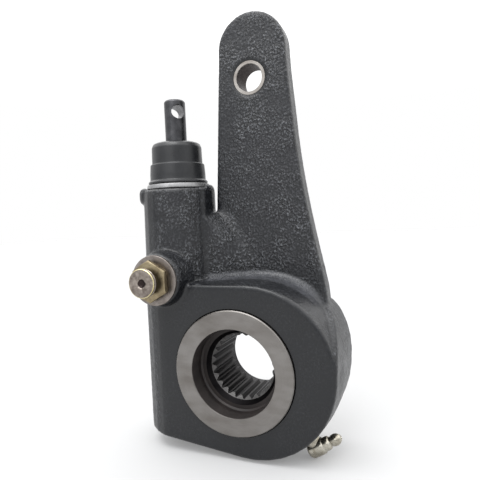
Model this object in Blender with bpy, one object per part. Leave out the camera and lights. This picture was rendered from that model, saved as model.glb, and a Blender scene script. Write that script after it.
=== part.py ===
"""Automatic slack adjuster for an air drum brake, with a pull pawl.

The frame's origin is on the camshaft bore's axis, in the worm's plane. +Y runs along that bore,
away from the side with the pull button. +Z runs up along the worm, and the arm points that way.
"""

from math import acos, cos, pi, radians, sin, sqrt, tan

import bmesh
import bpy
from mathutils import Matrix, Vector
from mathutils.geometry import interpolate_bezier

MM = 0.001

# Gaps between pieces
SEAT_GAP = 0.3 * MM  # pieces that touch
RUN_GAP = 0.2 * MM  # radial, round pieces that turn or slide in each other
OVERLAP = 0.5 * MM  # of a form with the piece that it is joined to or cut from

# Machined edges
CHAMFER = 0.6 * MM
SMALL_CHAMFER = 0.5 * MM

# Worm and wheel
AXIAL_MODULE = 2.75 * MM
WHEEL_TEETH = 24
WORM_PITCH_RADIUS = 9.0 * MM
WHEEL_FACE_WIDTH = 17.0 * MM
PRESSURE_ANGLE = radians(20)
TIP_CLEARANCE = 0.55 * MM
FLANK_THINNING = 0.2 * MM  # each tooth's share of the backlash
WORM_THREAD_LENGTH = 41.0 * MM
WORM_JOURNAL_RADIUS = 12.15 * MM
WORM_JOURNAL_WIDTH = 2.8 * MM
WORM_NECK_RADIUS = 6.4 * MM
WORM_HEX_FLATS = 11.1 * MM
WORM_HEX_LENGTH = 10.5 * MM
STEM_TIP_RADIUS = 8.6 * MM
STEM_ROOT_RADIUS = 7.2 * MM
STEM_TEETH = 10
STEM_TOOTH_WIDTH = 2.2 * MM
STEM_SPACE_WIDTH = 1.9 * MM
STEM_END_GAP = 0.8 * MM  # below the piston

# Camshaft wheel's hub
HUB_FRONT_Y = -25.65 * MM
HUB_REAR_Y = 24.2 * MM
HUB_FRONT_RADIUS = 34.8 * MM
HUB_REAR_STEP = 2.1 * MM  # the rear journal lies this far under the teeth's root
HUB_RECESS_RADIUS = 24.0 * MM
HUB_RECESS_DEPTH = 11.6 * MM
HUB_LIP_RADIUS = 21.4 * MM
HUB_LIP_DEPTH = 3.0 * MM
HUB_REAR_BORE_RADIUS = 19.35 * MM
HUB_REAR_BORE_DEPTH = 11.6 * MM
SERRATION_TEETH = 24
SERRATION_MAJOR_RADIUS = 19.2 * MM
SERRATION_MINOR_RADIUS = 17.5 * MM

# Housing's round body
BODY_RADIUS = 48.0 * MM
BODY_CENTRE_X = 8.5 * MM
BODY_CENTRE_Z = 0.4 * MM
BODY_FRONT_Y = -24.2 * MM
BODY_REAR_Y = 22.0 * MM
BODY_EDGE_RADIUS = 1.6 * MM
BODY_DRAFT = 0.9 * MM
UNDERSIDE_SLOPE = radians(7)
FOOT_CORNER_RADIUS = 8.0 * MM
FOOT_END_RADIUS = 24.6 * MM
FOOT_STAND_OUT = 0.3 * MM  # beyond the barrel
BORE_CHAMFER = 1.2 * MM

# Arm
ARM_REACH = 165.1 * MM  # camshaft bore to clevis hole
ARM_HOLE_X = 5.5 * MM
ARM_FRONT_Y = 4.3 * MM
ARM_THICKNESS = 15.2 * MM
ARM_END_RADIUS = 20.8 * MM
ARM_END_OFFSET_X = 1.3 * MM
ARM_END_RISE = 17.2 * MM
ARM_DRAFT = 0.8 * MM  # over the thickness, narrower at the rear
ARM_LEFT_TAPER = radians(3.6)
ARM_FOOT_X = 48.6 * MM
ARM_FOOT_Z = 26.0 * MM
ARM_FOOT_SLOPE = radians(12.5)
ARM_EDGE_RADIUS = 2.2 * MM
ARM_ROOT_FILLET = 3.0 * MM
BUSH_OUTER_RADIUS = 9.6 * MM
BUSH_BORE_RADIUS = 7.9 * MM

# Worm barrel
BARREL_FOOT_RADIUS = 22.0 * MM
BARREL_TOP_RADIUS = 21.3 * MM
BARREL_TOP_Z = 103.3 * MM
BARREL_SHOULDER = 1.9 * MM
BARREL_BORE_RADIUS = 16.8 * MM
BARREL_FLOOR_THICKNESS = 5.7 * MM
RIM_RADIUS = 22.1 * MM  # rear half of the barrel, round the boot's ring
RIM_FRONT_Y = -8.0 * MM
RIM_HEIGHT = 2.4 * MM  # above the front half's top
RIM_SHOULDER = 4.5 * MM
WEB_TOP_Z = 88.5 * MM
WEB_FRONT_Y = -8.5 * MM
WEB_REACH = 12.0 * MM  # past the barrel's side, into the arm
SPOTFACE_Z = -38.8 * MM
SPOTFACE_RADIUS = 15.5 * MM

# Actuator and plunger
STROKE = 18.0 * MM
ACTUATOR_TEETH = 20
ACTUATOR_TIP_RADIUS = 16.2 * MM
ACTUATOR_ROOT_RADIUS = 14.6 * MM
PITCHES_IN_STROKE = 4
ACTUATOR_TOOTHED_LENGTH = 32.0 * MM
ACTUATOR_COLLAR_LENGTH = 10.0 * MM
PISTON_RADIUS = 12.4 * MM
PISTON_HEIGHT = 6.9 * MM
PISTON_PIN_RADIUS = 2.0 * MM
ROD_RADIUS = 6.35 * MM
ROD_TOP_Z = 157.1 * MM
ROD_CHAMFER = 1.1 * MM
LINK_HOLE_RADIUS = 4.0 * MM
LINK_HOLE_BELOW_TOP = 7.7 * MM
LINK_HOLE_TURN = radians(50)  # from the front towards the arm

# Pawl
PAWL_Z = 51.7 * MM
PAWL_TRAVEL_IN = 1.3 * MM
PAWL_HEAD_RADIUS = 6.6 * MM
PAWL_HEAD_LENGTH = 6.0 * MM
PAWL_STEM_RADIUS = 3.2 * MM
PAWL_BOSS_RADIUS = 14.9 * MM
PAWL_BOSS_ROOT_RADIUS = 17.6 * MM
PAWL_BOSS_FRONT_Y = -31.0 * MM
PLUG_THREAD_RADIUS = 8.4 * MM
PLUG_NECK_RADIUS = 9.3 * MM
PLUG_NECK_LENGTH = 2.0 * MM
PLUG_HEX_FLATS = 20.6 * MM
PLUG_HEX_HEIGHT = 2.8 * MM
PLUG_INNER_END_Y = -18.3 * MM
WASHER_RADIUS = 14.1 * MM
WASHER_THICKNESS = 1.6 * MM
BUTTON_RADIUS = 8.0 * MM
BUTTON_THICKNESS = 3.3 * MM
BUTTON_FACE_Y = -45.1 * MM
BUTTON_DIMPLE_RADIUS = 2.7 * MM
BUTTON_DIMPLE_DEPTH = 0.9 * MM
SPRING_WIRE_RADIUS = 0.45 * MM
SPRING_RADIUS = 4.9 * MM
SPRING_TURNS = 4

# Boot
BOOT_WALL = 1.8 * MM
BOOT_DRAFT = 0.2 * MM
BOOT_EDGE = 0.6 * MM
BOOT_FOOT_RECESS = 1.2 * MM  # where the ring holds it
BOOT_RIM_RADIUS = 17.9 * MM
BOOT_LOWER_RADIUS = 16.5 * MM
BOOT_UPPER_RADIUS = 15.0 * MM
BOOT_RIM_TOP = 5.0 * MM  # heights above the barrel's top
BOOT_STEP = 15.0 * MM
BOOT_SHOULDER = 25.0 * MM
BOOT_SHOULDER_RADIUS = 3.0 * MM
BOOT_TOP = 28.3 * MM
BOOT_RING_HEIGHT = 2.7 * MM
BOOT_RING_FOOT_RADIUS = 18.9 * MM

# Rings, seals and washers
SNAP_RING_THICKNESS = 1.8 * MM
WHEEL_RING_GROOVE_DEPTH = 2.0 * MM
WORM_RING_GROOVE_DEPTH = 1.2 * MM
PISTON_RING_GROOVE_DEPTH = 0.9 * MM
PISTON_RING_THICKNESS = 1.15 * MM
RING_BREADTH_IN_GROOVES = 2.4  # a snap ring's breadth over its groove's depth
WHEEL_RING_OPENING = radians(20)
SMALL_RING_OPENING = radians(36)
THRUST_WASHER_THICKNESS = 1.8 * MM
COVER_THICKNESS = 6.1 * MM
FRONT_SEAL_WIDTH = 2.6 * MM
FRONT_SEAL_GROOVE_DEPTH = 2.2 * MM
SEAL_WIDTH = 4.2 * MM
REAR_SEAL_DEPTH = 2.5 * MM

# Grease fitting
FITTING_ANGLE = radians(-52.7)  # where it leaves the round body
FITTING_Y = -8.0 * MM
FITTING_STAND_OFF = 6.5 * MM
FITTING_BODY_RADIUS = 4.6 * MM
FITTING_STEM_RADIUS = 2.9 * MM
FITTING_EDGE = 0.9 * MM
FITTING_HEAD_ANGLE = radians(30)
FITTING_COLLAR_RADIUS = 2.7 * MM
FITTING_BALL_RADIUS = 3.2 * MM
FITTING_NECK_LENGTH = 4.1 * MM

# Facets round a circle
BODY_STEPS = 40
ROUND_STEPS = 24
SMALL_STEPS = 16
FILLET_STEPS = 23  # not the body's own count, so that no edges of the two coincide
TOOTH_LAYER = 4.0 * MM  # heights of the layers that make up the helical ratchet teeth
PAWL_TOOTH_LAYER = 2.0 * MM

# Worked out from the sizes above
AXIAL_PITCH = pi * AXIAL_MODULE
WHEEL_PITCH_RADIUS = WHEEL_TEETH * AXIAL_MODULE / 2
WHEEL_TIP_RADIUS = WHEEL_PITCH_RADIUS + AXIAL_MODULE
WHEEL_ROOT_RADIUS = WHEEL_PITCH_RADIUS - AXIAL_MODULE - TIP_CLEARANCE
HUB_REAR_RADIUS = WHEEL_ROOT_RADIUS - HUB_REAR_STEP
WORM_TIP_RADIUS = WORM_PITCH_RADIUS + AXIAL_MODULE
WORM_ROOT_RADIUS = WORM_PITCH_RADIUS - AXIAL_MODULE - TIP_CLEARANCE
TOOTH_WIDTH = AXIAL_PITCH / 2 - FLANK_THINNING
WORM_X = -(WHEEL_PITCH_RADIUS + WORM_PITCH_RADIUS)
WORM_THREAD_END = WORM_THREAD_LENGTH / 2 + TOOTH_WIDTH / 2
WORM_BORE_RADIUS = WORM_JOURNAL_RADIUS + RUN_GAP
WORM_UPPER_END = WORM_THREAD_END + WORM_JOURNAL_WIDTH / 2
WORM_LOWER_END = -WORM_THREAD_END - WORM_JOURNAL_WIDTH
BARREL_FLOOR_BOTTOM = WORM_UPPER_END + SEAT_GAP
BARREL_FLOOR_TOP = BARREL_FLOOR_BOTTOM + BARREL_FLOOR_THICKNESS
ACTUATOR_BOTTOM = BARREL_FLOOR_TOP + SEAT_GAP
COLLAR_BOTTOM = ACTUATOR_BOTTOM + ACTUATOR_TOOTHED_LENGTH
ACTUATOR_TOP = COLLAR_BOTTOM + ACTUATOR_COLLAR_LENGTH
ACTUATOR_LEAD = STROKE / PITCHES_IN_STROKE * ACTUATOR_TEETH
PISTON_BOTTOM = COLLAR_BOTTOM + SEAT_GAP
STEM_TOP = PISTON_BOTTOM - STEM_END_GAP
PISTON_TOP = PISTON_BOTTOM + PISTON_HEIGHT
PISTON_BORE_RADIUS = PISTON_RADIUS + RUN_GAP
PISTON_PIN_Z = (PISTON_BOTTOM + PISTON_TOP) / 2
ARM_REAR_Y = ARM_FRONT_Y + ARM_THICKNESS
CAVITY_FRONT_Y = -WHEEL_FACE_WIDTH / 2 - SEAT_GAP
CAVITY_RADIUS = max(WHEEL_TIP_RADIUS, HUB_FRONT_RADIUS) + 3 * RUN_GAP  # the wheel passes it
THRUST_WASHER_Y = WHEEL_FACE_WIDTH / 2 + SEAT_GAP
COVER_Y = THRUST_WASHER_Y + THRUST_WASHER_THICKNESS + SEAT_GAP
WHEEL_RING_Y = COVER_Y + COVER_THICKNESS + SEAT_GAP
BOOT_FOOT_Z = BARREL_TOP_Z + SEAT_GAP
WASHER_FRONT_Y = PAWL_BOSS_FRONT_Y - SEAT_GAP - WASHER_THICKNESS
PLUG_SEAT_Y = WASHER_FRONT_Y - SEAT_GAP
PLUG_HEX_BACK_Y = PLUG_SEAT_Y - PLUG_NECK_LENGTH
PLUG_HEX_FRONT_Y = PLUG_HEX_BACK_Y - PLUG_HEX_HEIGHT
PAWL_TIP_RADIUS = ACTUATOR_TIP_RADIUS + SEAT_GAP
PAWL_HEAD_BACK_Y = -PAWL_TIP_RADIUS - PAWL_HEAD_LENGTH
PLUG_CHAMBER_FRONT_Y = PLUG_SEAT_Y - PLUG_NECK_LENGTH / 2
BUTTON_BACK_Y = BUTTON_FACE_Y + BUTTON_THICKNESS


def clear_scene():
    for obj in list(bpy.data.objects):
        bpy.data.objects.remove(obj, do_unlink=True)


def finish_material(name, colour, roughness, metallic):
    """A Principled material. The colour is sRGB hex."""
    material = bpy.data.materials.new(name)
    material.use_nodes = True
    shader = material.node_tree.nodes["Principled BSDF"]
    channels = [int(colour[i : i + 2], 16) / 255 for i in (0, 2, 4)]
    linear = [c / 12.92 if c <= 0.04045 else ((c + 0.055) / 1.055) ** 2.4 for c in channels]
    shader.inputs["Base Color"].default_value = (*linear, 1)
    shader.inputs["Roughness"].default_value = roughness
    shader.inputs["Metallic"].default_value = metallic
    return material


def circle(radius, steps, start=0.0):
    return [
        (radius * cos(start + 2 * pi * i / steps), radius * sin(start + 2 * pi * i / steps))
        for i in range(steps)
    ]


def arc(centre, radius, start, end, steps):
    """Points from one angle to another, both ends included."""
    angles = [start + (end - start) * i / steps for i in range(steps + 1)]
    return [(centre[0] + radius * cos(a), centre[1] + radius * sin(a)) for a in angles]


def hexagon(flats, start=0.0):
    return circle(flats / sqrt(3), 6, start)


def toothed(teeth, tip_radius, root_radius, tip_width, root_width, start=0.0):
    """Outline of straight-sided teeth. A tooth is centred on the start angle."""
    tip = tip_width / 2 / tip_radius
    root = root_width / 2 / root_radius
    points = []
    for tooth in range(teeth):
        middle = start + 2 * pi * tooth / teeth
        gap = middle + pi / teeth
        for radius, angle in (
            (tip_radius, middle - tip),
            (tip_radius, middle + tip),
            (root_radius, gap - root),
            (root_radius, gap + root),
        ):
            points.append((radius * cos(angle), radius * sin(angle)))
    return points


def pointed(teeth, tip_radius, root_radius, start=0.0):
    """Outline of V-shaped teeth. A tooth is centred on the start angle."""
    points = []
    for step in range(2 * teeth):
        radius = root_radius if step % 2 else tip_radius
        angle = start + pi * step / teeth
        points.append((radius * cos(angle), radius * sin(angle)))
    return points


def grown(outline, distance):
    """A counter-clockwise outline moved outwards by a distance, mitred at its corners."""
    count = len(outline)
    points = []
    for i, (x, y) in enumerate(outline):
        before = Vector(outline[i]) - Vector(outline[i - 1])
        after = Vector(outline[(i + 1) % count]) - Vector(outline[i])
        out_before = Vector((before.y, -before.x)).normalized()
        out_after = Vector((after.y, -after.x)).normalized()
        middle = (out_before + out_after).normalized()
        reach = distance / middle.dot(out_after)
        points.append((x + middle.x * reach, y + middle.y * reach))
    return points


def along_y(u, v, height):
    return (u, height, v)


def along_z(u, v, height):
    return (u, v, height)


def lofted(outline, stations, lift=along_y):
    """A closed solid through copies of an outline. Each station is (height, growth[, turn])."""
    bm = bmesh.new()
    rings = []
    for height, growth, *turned_by in stations:
        angle = turned_by[0] if turned_by else 0.0
        points = grown(outline, growth) if growth else outline
        ring = []
        for u, v in points:
            turned_u = u * cos(angle) - v * sin(angle)
            turned_v = u * sin(angle) + v * cos(angle)
            ring.append(bm.verts.new(lift(turned_u, turned_v, height)))
        rings.append(ring)
    for lower, upper in zip(rings, rings[1:]):
        for i in range(len(lower)):
            bm.faces.new((lower[i - 1], lower[i], upper[i], upper[i - 1]))
    bm.faces.new(rings[0])
    bm.faces.new(rings[-1])
    return bm


def rounded(front, rear, front_radius, rear_radius, steps=3):
    """Stations of a plate whose two faces have rounded edges."""
    stations = []
    for i in range(steps + 1):
        angle = pi / 2 * i / steps
        stations.append((front + front_radius * (1 - cos(angle)), front_radius * (sin(angle) - 1)))
    for i in range(steps + 1):
        angle = pi / 2 * (1 - i / steps)
        stations.append((rear - rear_radius * (1 - cos(angle)), rear_radius * (sin(angle) - 1)))
    return stations


def turned(profile, steps, centre=(0, 0, 0), axis=(0, 0, 1)):
    """A profile of (radius, height) points spun round an axis. One that starts and ends at
    radius 0 makes a solid, and any other a ring."""
    bm = bmesh.new()
    verts = [bm.verts.new((radius, 0, height)) for radius, height in profile]
    edges = [bm.edges.new(pair) for pair in zip(verts, verts[1:])]
    if profile[0][0] > 0:
        edges.append(bm.edges.new((verts[-1], verts[0])))
    bmesh.ops.spin(
        bm,
        geom=verts + edges,
        cent=(0, 0, 0),
        axis=(0, 0, 1),
        angle=2 * pi,
        steps=steps,
        use_merge=True,
    )
    bmesh.ops.remove_doubles(bm, verts=bm.verts, dist=1e-7)
    turn = Vector((0, 0, 1)).rotation_difference(Vector(axis)).to_matrix().to_4x4()
    bm.transform(Matrix.Translation(centre) @ turn)
    return bm


def ring_profile(inner, outer, low, high, chamfer=0.0):
    """A ring's section, with its four corners chamfered."""
    if not chamfer:
        return [(inner, low), (outer, low), (outer, high), (inner, high)]
    return [
        (inner + chamfer, low),
        (outer - chamfer, low),
        (outer, low + chamfer),
        (outer, high - chamfer),
        (outer - chamfer, high),
        (inner + chamfer, high),
        (inner, high - chamfer),
        (inner, low + chamfer),
    ]


def coiled(section, lead, start_z, turns, steps_per_turn, start_angle=0.0):
    """A section of (radius, height) points swept along a right-handed helix round Z."""
    bm = bmesh.new()
    rings = []
    for i in range(round(turns * steps_per_turn) + 1):
        share = i / steps_per_turn
        angle = start_angle + 2 * pi * share
        rise = start_z + lead * share
        rings.append(
            [bm.verts.new((r * cos(angle), r * sin(angle), h + rise)) for r, h in section]
        )
    for lower, upper in zip(rings, rings[1:]):
        for i in range(len(lower)):
            bm.faces.new((lower[i - 1], lower[i], upper[i], upper[i - 1]))
    bm.faces.new(rings[0])
    bm.faces.new(rings[-1])
    return bm


def add_object(name, bm, material=None, parent=None):
    """An object from a bmesh that is written in its parent's axes."""
    bmesh.ops.recalc_face_normals(bm, faces=bm.faces)
    if bm.calc_volume(signed=True) < 0:
        bmesh.ops.reverse_faces(bm, faces=bm.faces)
    mesh = bpy.data.meshes.new(name)
    bm.to_mesh(mesh)
    bm.free()
    mesh.shade_smooth()
    mesh.set_sharp_from_angle(angle=radians(32))
    if material:
        mesh.materials.append(material)
    obj = bpy.data.objects.new(name, mesh)
    obj.parent = parent
    bpy.context.scene.collection.objects.link(obj)
    return obj


def add_axis(name, location):
    """An empty on a joint's axis. The pieces that move about it are its children."""
    empty = bpy.data.objects.new(name, None)
    empty.location = location
    bpy.context.scene.collection.objects.link(empty)
    return empty


def shape_with(target, tool, operation):
    """Changes the target by a Boolean with a helper object, which isn't itself a piece."""
    modifier = target.modifiers.new(tool.name, "BOOLEAN")
    modifier.operation = operation
    modifier.solver = "EXACT"
    modifier.object = tool
    tool.hide_render = True
    tool.display_type = "WIRE"


def add_form(target, name, bm, parent=None):
    shape_with(target, add_object(name, bm, parent=parent), "UNION")


def cut_form(target, name, bm, parent=None):
    shape_with(target, add_object(name, bm, parent=parent), "DIFFERENCE")


def keep_within(target, name, bm, parent=None):
    shape_with(target, add_object(name, bm, parent=parent), "INTERSECT")


def body_outline(steps):
    """The body's front view: a circle, run out to the left over the worm."""
    centre = (BODY_CENTRE_X, BODY_CENTRE_Z)
    left = WORM_X - BARREL_FOOT_RADIUS - FOOT_STAND_OUT
    low_tangent = -pi / 2 - UNDERSIDE_SLOPE
    round_side = arc(centre, BODY_RADIUS, low_tangent, pi / 2, steps)
    tangent_x, tangent_z = round_side[0]
    corner_x = left + FOOT_CORNER_RADIUS
    under_z = tangent_z + (tangent_x - corner_x) * tan(UNDERSIDE_SLOPE)
    corner_z = under_z + FOOT_CORNER_RADIUS / cos(UNDERSIDE_SLOPE)
    corner = arc((corner_x, corner_z), FOOT_CORNER_RADIUS, pi, pi + pi / 2 - UNDERSIDE_SLOPE, 6)
    return round_side + [(left, BODY_CENTRE_Z + BODY_RADIUS)] + corner


def arm_outline():
    """The arm's front view, from its foot in the body up round its end."""
    end = (ARM_HOLE_X + ARM_END_OFFSET_X, ARM_REACH + ARM_END_RISE)
    foot = Vector((ARM_FOOT_X, ARM_FOOT_Z))
    side_top = Vector((end[0] + ARM_END_RADIUS, end[1]))
    rise = side_top.y - foot.y
    lower_handle = foot + Vector((-sin(ARM_FOOT_SLOPE), cos(ARM_FOOT_SLOPE))) * rise * 0.42
    upper_handle = side_top - Vector((0, 1)) * rise * 0.38
    flared_side = interpolate_bezier(foot, lower_handle, upper_handle, side_top, 14)
    around = arc(end, ARM_END_RADIUS, 0, pi + ARM_LEFT_TAPER, 22)
    left_x, left_z = around[-1]
    foot_left = (left_x - (left_z - ARM_FOOT_Z) * tan(ARM_LEFT_TAPER), ARM_FOOT_Z)
    return [(p.x, p.y) for p in flared_side[:-1]] + around + [foot_left]


def web_outline():
    """The web between barrel and arm, seen from above."""
    barrel_side = WORM_X + BARREL_TOP_RADIUS
    end = barrel_side + WEB_REACH
    return [
        (WORM_X, WEB_FRONT_Y),
        (barrel_side - WEB_REACH / 16, WEB_FRONT_Y),
        (barrel_side + WEB_REACH / 2, ARM_FRONT_Y + ARM_EDGE_RADIUS / 4),
        (end, ARM_FRONT_Y + ARM_EDGE_RADIUS),
        (end, ARM_REAR_Y - ARM_EDGE_RADIUS),
        (WORM_X, ARM_REAR_Y - ARM_EDGE_RADIUS),
    ]


def foot_plan():
    """The body seen from above: flat at the sides, round at the worm's end."""
    reach = BODY_CENTRE_X + 2 * BODY_RADIUS
    side = 2 * FOOT_END_RADIUS
    centre_x = WORM_X - BARREL_FOOT_RADIUS - FOOT_STAND_OUT + FOOT_END_RADIUS
    half = arc((centre_x, 0), FOOT_END_RADIUS, pi / 2, 3 * pi / 2, ROUND_STEPS // 2)
    return [(reach, -side), (reach, side), (centre_x, side)] + half + [(centre_x, -side)]


def add_housing_casting(housing):
    keep_within(
        housing,
        "foot_end",
        lofted(foot_plan(), [(-2 * BODY_RADIUS, 0), (2 * BODY_RADIUS, 0)], along_z),
    )
    shoulder_z = BARREL_TOP_Z - BARREL_SHOULDER
    shoulder = [
        (BARREL_TOP_RADIUS - BARREL_SHOULDER + x, shoulder_z + z)
        for x, z in arc((0, 0), BARREL_SHOULDER, 0, pi / 2, 4)
    ]
    barrel = [(0, 0), (BARREL_FOOT_RADIUS, 0), (BARREL_FOOT_RADIUS, PAWL_Z)]
    barrel += shoulder + [(0, BARREL_TOP_Z)]
    add_form(housing, "barrel", turned(barrel, ROUND_STEPS, (WORM_X, 0, 0)))
    arm = [
        (y, growth - ARM_DRAFT * (y - ARM_FRONT_Y) / ARM_THICKNESS)
        for y, growth in rounded(ARM_FRONT_Y, ARM_REAR_Y, ARM_EDGE_RADIUS, ARM_EDGE_RADIUS)
    ]
    add_form(housing, "arm", lofted(arm_outline(), arm))
    web_top = WEB_TOP_Z - ARM_EDGE_RADIUS
    web = [(BODY_CENTRE_Z, 0), (web_top, 0), (WEB_TOP_Z, -ARM_EDGE_RADIUS)]
    add_form(housing, "web", lofted(web_outline(), web, along_z))
    boss_root = -BARREL_BORE_RADIUS
    boss = [
        (0, boss_root),
        (PAWL_BOSS_ROOT_RADIUS, boss_root),
        (PAWL_BOSS_RADIUS, PAWL_BOSS_FRONT_Y + BODY_EDGE_RADIUS),
        (PAWL_BOSS_RADIUS - BODY_EDGE_RADIUS / 2, PAWL_BOSS_FRONT_Y + BODY_EDGE_RADIUS / 4),
        (PAWL_BOSS_RADIUS - BODY_EDGE_RADIUS, PAWL_BOSS_FRONT_Y),
        (0, PAWL_BOSS_FRONT_Y),
    ]
    add_form(housing, "pawl_boss", turned(boss, ROUND_STEPS, (WORM_X, 0, PAWL_Z), (0, 1, 0)))


def add_arm_root_fillet(housing):
    """The hollow corner between the body's wall and the arm's face, as far as the arm reaches."""
    radius = ARM_ROOT_FILLET
    stations = [(ARM_FRONT_Y - 2 * radius, -BODY_EDGE_RADIUS)]
    for i in range(5):
        angle = pi / 2 * i / 4
        growth = BODY_DRAFT + radius * (1 - cos(angle))
        stations.append((ARM_FRONT_Y - radius * (1 - sin(angle)), growth))
    stations.append((ARM_FRONT_Y + 2 * ARM_EDGE_RADIUS, BODY_DRAFT + radius))
    fillet = add_object("arm_root_fillet", lofted(body_outline(FILLET_STEPS), stations))
    reach = [(ARM_FRONT_Y - 4 * radius, 0), (ARM_REAR_Y, 0)]
    keep_within(fillet, "arm_reach", lofted(grown(arm_outline(), -ARM_EDGE_RADIUS), reach))
    shape_with(housing, fillet, "UNION")


def add_barrel_rim(housing):
    """The barrel's rear half, which is larger and stands up round the boot's ring."""
    inner = BOOT_RING_FOOT_RADIUS + SEAT_GAP
    top = BARREL_TOP_Z + RIM_HEIGHT
    width = RIM_RADIUS - inner
    profile = [(inner, BODY_CENTRE_Z), (RIM_RADIUS, BODY_CENTRE_Z)]
    profile += [
        (inner + width * x, top - RIM_SHOULDER + RIM_SHOULDER * z)
        for x, z in arc((0, 0), 1, 0, pi / 2, 5)
    ]
    rim = add_object("barrel_rim", turned(profile, ROUND_STEPS, (WORM_X, 0, 0)))
    side = 2 * RIM_RADIUS
    rear_half = [
        (WORM_X - side, RIM_FRONT_Y),
        (WORM_X + side, RIM_FRONT_Y),
        (WORM_X + side, side),
        (WORM_X - side, side),
    ]
    keep_within(rim, "rear_half", lofted(rear_half, [(-side, 0), (top + side, 0)], along_z))
    shape_with(housing, rim, "UNION")


def cut_wheel_bore(housing):
    """The stepped bore for the wheel, which goes in from behind."""
    journal = HUB_FRONT_RADIUS + RUN_GAP
    ring_end = WHEEL_RING_Y + SNAP_RING_THICKNESS
    groove = CAVITY_RADIUS + WHEEL_RING_GROOVE_DEPTH
    groove_gap = SEAT_GAP / 2
    past = 2 * BORE_CHAMFER
    profile = [
        (0, BODY_FRONT_Y - past),
        (journal + BORE_CHAMFER + past, BODY_FRONT_Y - past),
        (journal, BODY_FRONT_Y + BORE_CHAMFER),
        (journal, CAVITY_FRONT_Y),
        (CAVITY_RADIUS, CAVITY_FRONT_Y),
        (CAVITY_RADIUS, WHEEL_RING_Y - groove_gap),
        (groove, WHEEL_RING_Y - groove_gap),
        (groove, ring_end + groove_gap),
        (CAVITY_RADIUS, ring_end + groove_gap),
        (CAVITY_RADIUS, BODY_REAR_Y - BORE_CHAMFER),
        (CAVITY_RADIUS + BORE_CHAMFER + past, BODY_REAR_Y + past),
        (0, BODY_REAR_Y + past),
    ]
    cut_form(housing, "wheel_bore", turned(profile, BODY_STEPS, axis=(0, 1, 0)))


def worm_stack():
    """Heights of the pieces below the worm, each as (bottom, top), from the worm down."""
    washer_top = WORM_LOWER_END - SEAT_GAP
    washer = (washer_top - THRUST_WASHER_THICKNESS, washer_top)
    seal = (washer[0] - SEAT_GAP - SEAL_WIDTH, washer[0] - SEAT_GAP)
    ring = (seal[0] - SEAT_GAP - SNAP_RING_THICKNESS, seal[0] - SEAT_GAP)
    return washer, seal, ring


def cut_worm_bore(housing):
    """The bore for the worm from below, and the wider one for the actuator from above."""
    ring_bottom, ring_top = worm_stack()[2]
    groove = WORM_BORE_RADIUS + WORM_RING_GROOVE_DEPTH
    groove_gap = SEAT_GAP / 2
    neck = STEM_TIP_RADIUS + 4 * RUN_GAP
    mouth = 2 * RUN_GAP
    profile = [
        (0, SPOTFACE_Z - 2 * FOOT_CORNER_RADIUS),
        (SPOTFACE_RADIUS, SPOTFACE_Z - 2 * FOOT_CORNER_RADIUS),
        (SPOTFACE_RADIUS, SPOTFACE_Z),
        (WORM_BORE_RADIUS, SPOTFACE_Z),
        (WORM_BORE_RADIUS, ring_bottom - groove_gap),
        (groove, ring_bottom - groove_gap),
        (groove, ring_top + groove_gap),
        (WORM_BORE_RADIUS, ring_top + groove_gap),
        (WORM_BORE_RADIUS, BARREL_FLOOR_BOTTOM),
        (neck, BARREL_FLOOR_BOTTOM),
        (neck, BARREL_FLOOR_TOP),
        (BARREL_BORE_RADIUS, BARREL_FLOOR_TOP),
        (BARREL_BORE_RADIUS, BARREL_TOP_Z - mouth),
        (BARREL_BORE_RADIUS + 3 * mouth, BARREL_TOP_Z + 2 * mouth),
        (0, BARREL_TOP_Z + 2 * mouth),
    ]
    cut_form(housing, "worm_bore", turned(profile, ROUND_STEPS, (WORM_X, 0, 0)))


def fitting_foot():
    """Where the grease fitting's stem leaves the body, and the way it points."""
    outward = Vector((cos(FITTING_ANGLE), 0, sin(FITTING_ANGLE)))
    centre = Vector((BODY_CENTRE_X, FITTING_Y, BODY_CENTRE_Z))
    return centre + outward * (BODY_RADIUS + BODY_DRAFT), outward


def cut_small_holes(housing):
    pawl_bore = [
        (0, PAWL_BOSS_FRONT_Y - PLUG_THREAD_RADIUS),
        (PLUG_THREAD_RADIUS + RUN_GAP, PAWL_BOSS_FRONT_Y - PLUG_THREAD_RADIUS),
        (PLUG_THREAD_RADIUS + RUN_GAP, -BARREL_BORE_RADIUS / 2),
        (0, -BARREL_BORE_RADIUS / 2),
    ]
    cut_form(
        housing,
        "pawl_bore",
        turned(pawl_bore, SMALL_STEPS, (WORM_X, 0, PAWL_Z), (0, 1, 0)),
    )
    bush_hole = BUSH_OUTER_RADIUS + RUN_GAP
    clevis_hole = [
        (0, -ARM_THICKNESS),
        (bush_hole, -ARM_THICKNESS),
        (bush_hole, 2 * ARM_THICKNESS),
        (0, 2 * ARM_THICKNESS),
    ]
    cut_form(
        housing,
        "clevis_hole",
        turned(clevis_hole, ROUND_STEPS, (ARM_HOLE_X, ARM_FRONT_Y, ARM_REACH), (0, 1, 0)),
    )
    foot, outward = fitting_foot()
    hole_radius = FITTING_STEM_RADIUS + RUN_GAP
    wall = BODY_RADIUS - WHEEL_PITCH_RADIUS + BODY_CENTRE_X
    grease_hole = [(0, -wall), (hole_radius, -wall), (hole_radius, wall), (0, wall)]
    cut_form(housing, "grease_hole", turned(grease_hole, SMALL_STEPS, foot, outward))


def make_housing(material):
    stations = rounded(BODY_FRONT_Y, BODY_REAR_Y, BODY_EDGE_RADIUS, BODY_EDGE_RADIUS)
    half = len(stations) // 2
    parting = [(BODY_FRONT_Y * 0.3, BODY_DRAFT)]
    housing = add_object(
        "housing",
        lofted(body_outline(BODY_STEPS // 2), stations[:half] + parting + stations[half:]),
        material,
    )
    add_housing_casting(housing)
    add_arm_root_fillet(housing)
    add_barrel_rim(housing)
    cut_wheel_bore(housing)
    cut_worm_bore(housing)
    cut_small_holes(housing)


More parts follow.
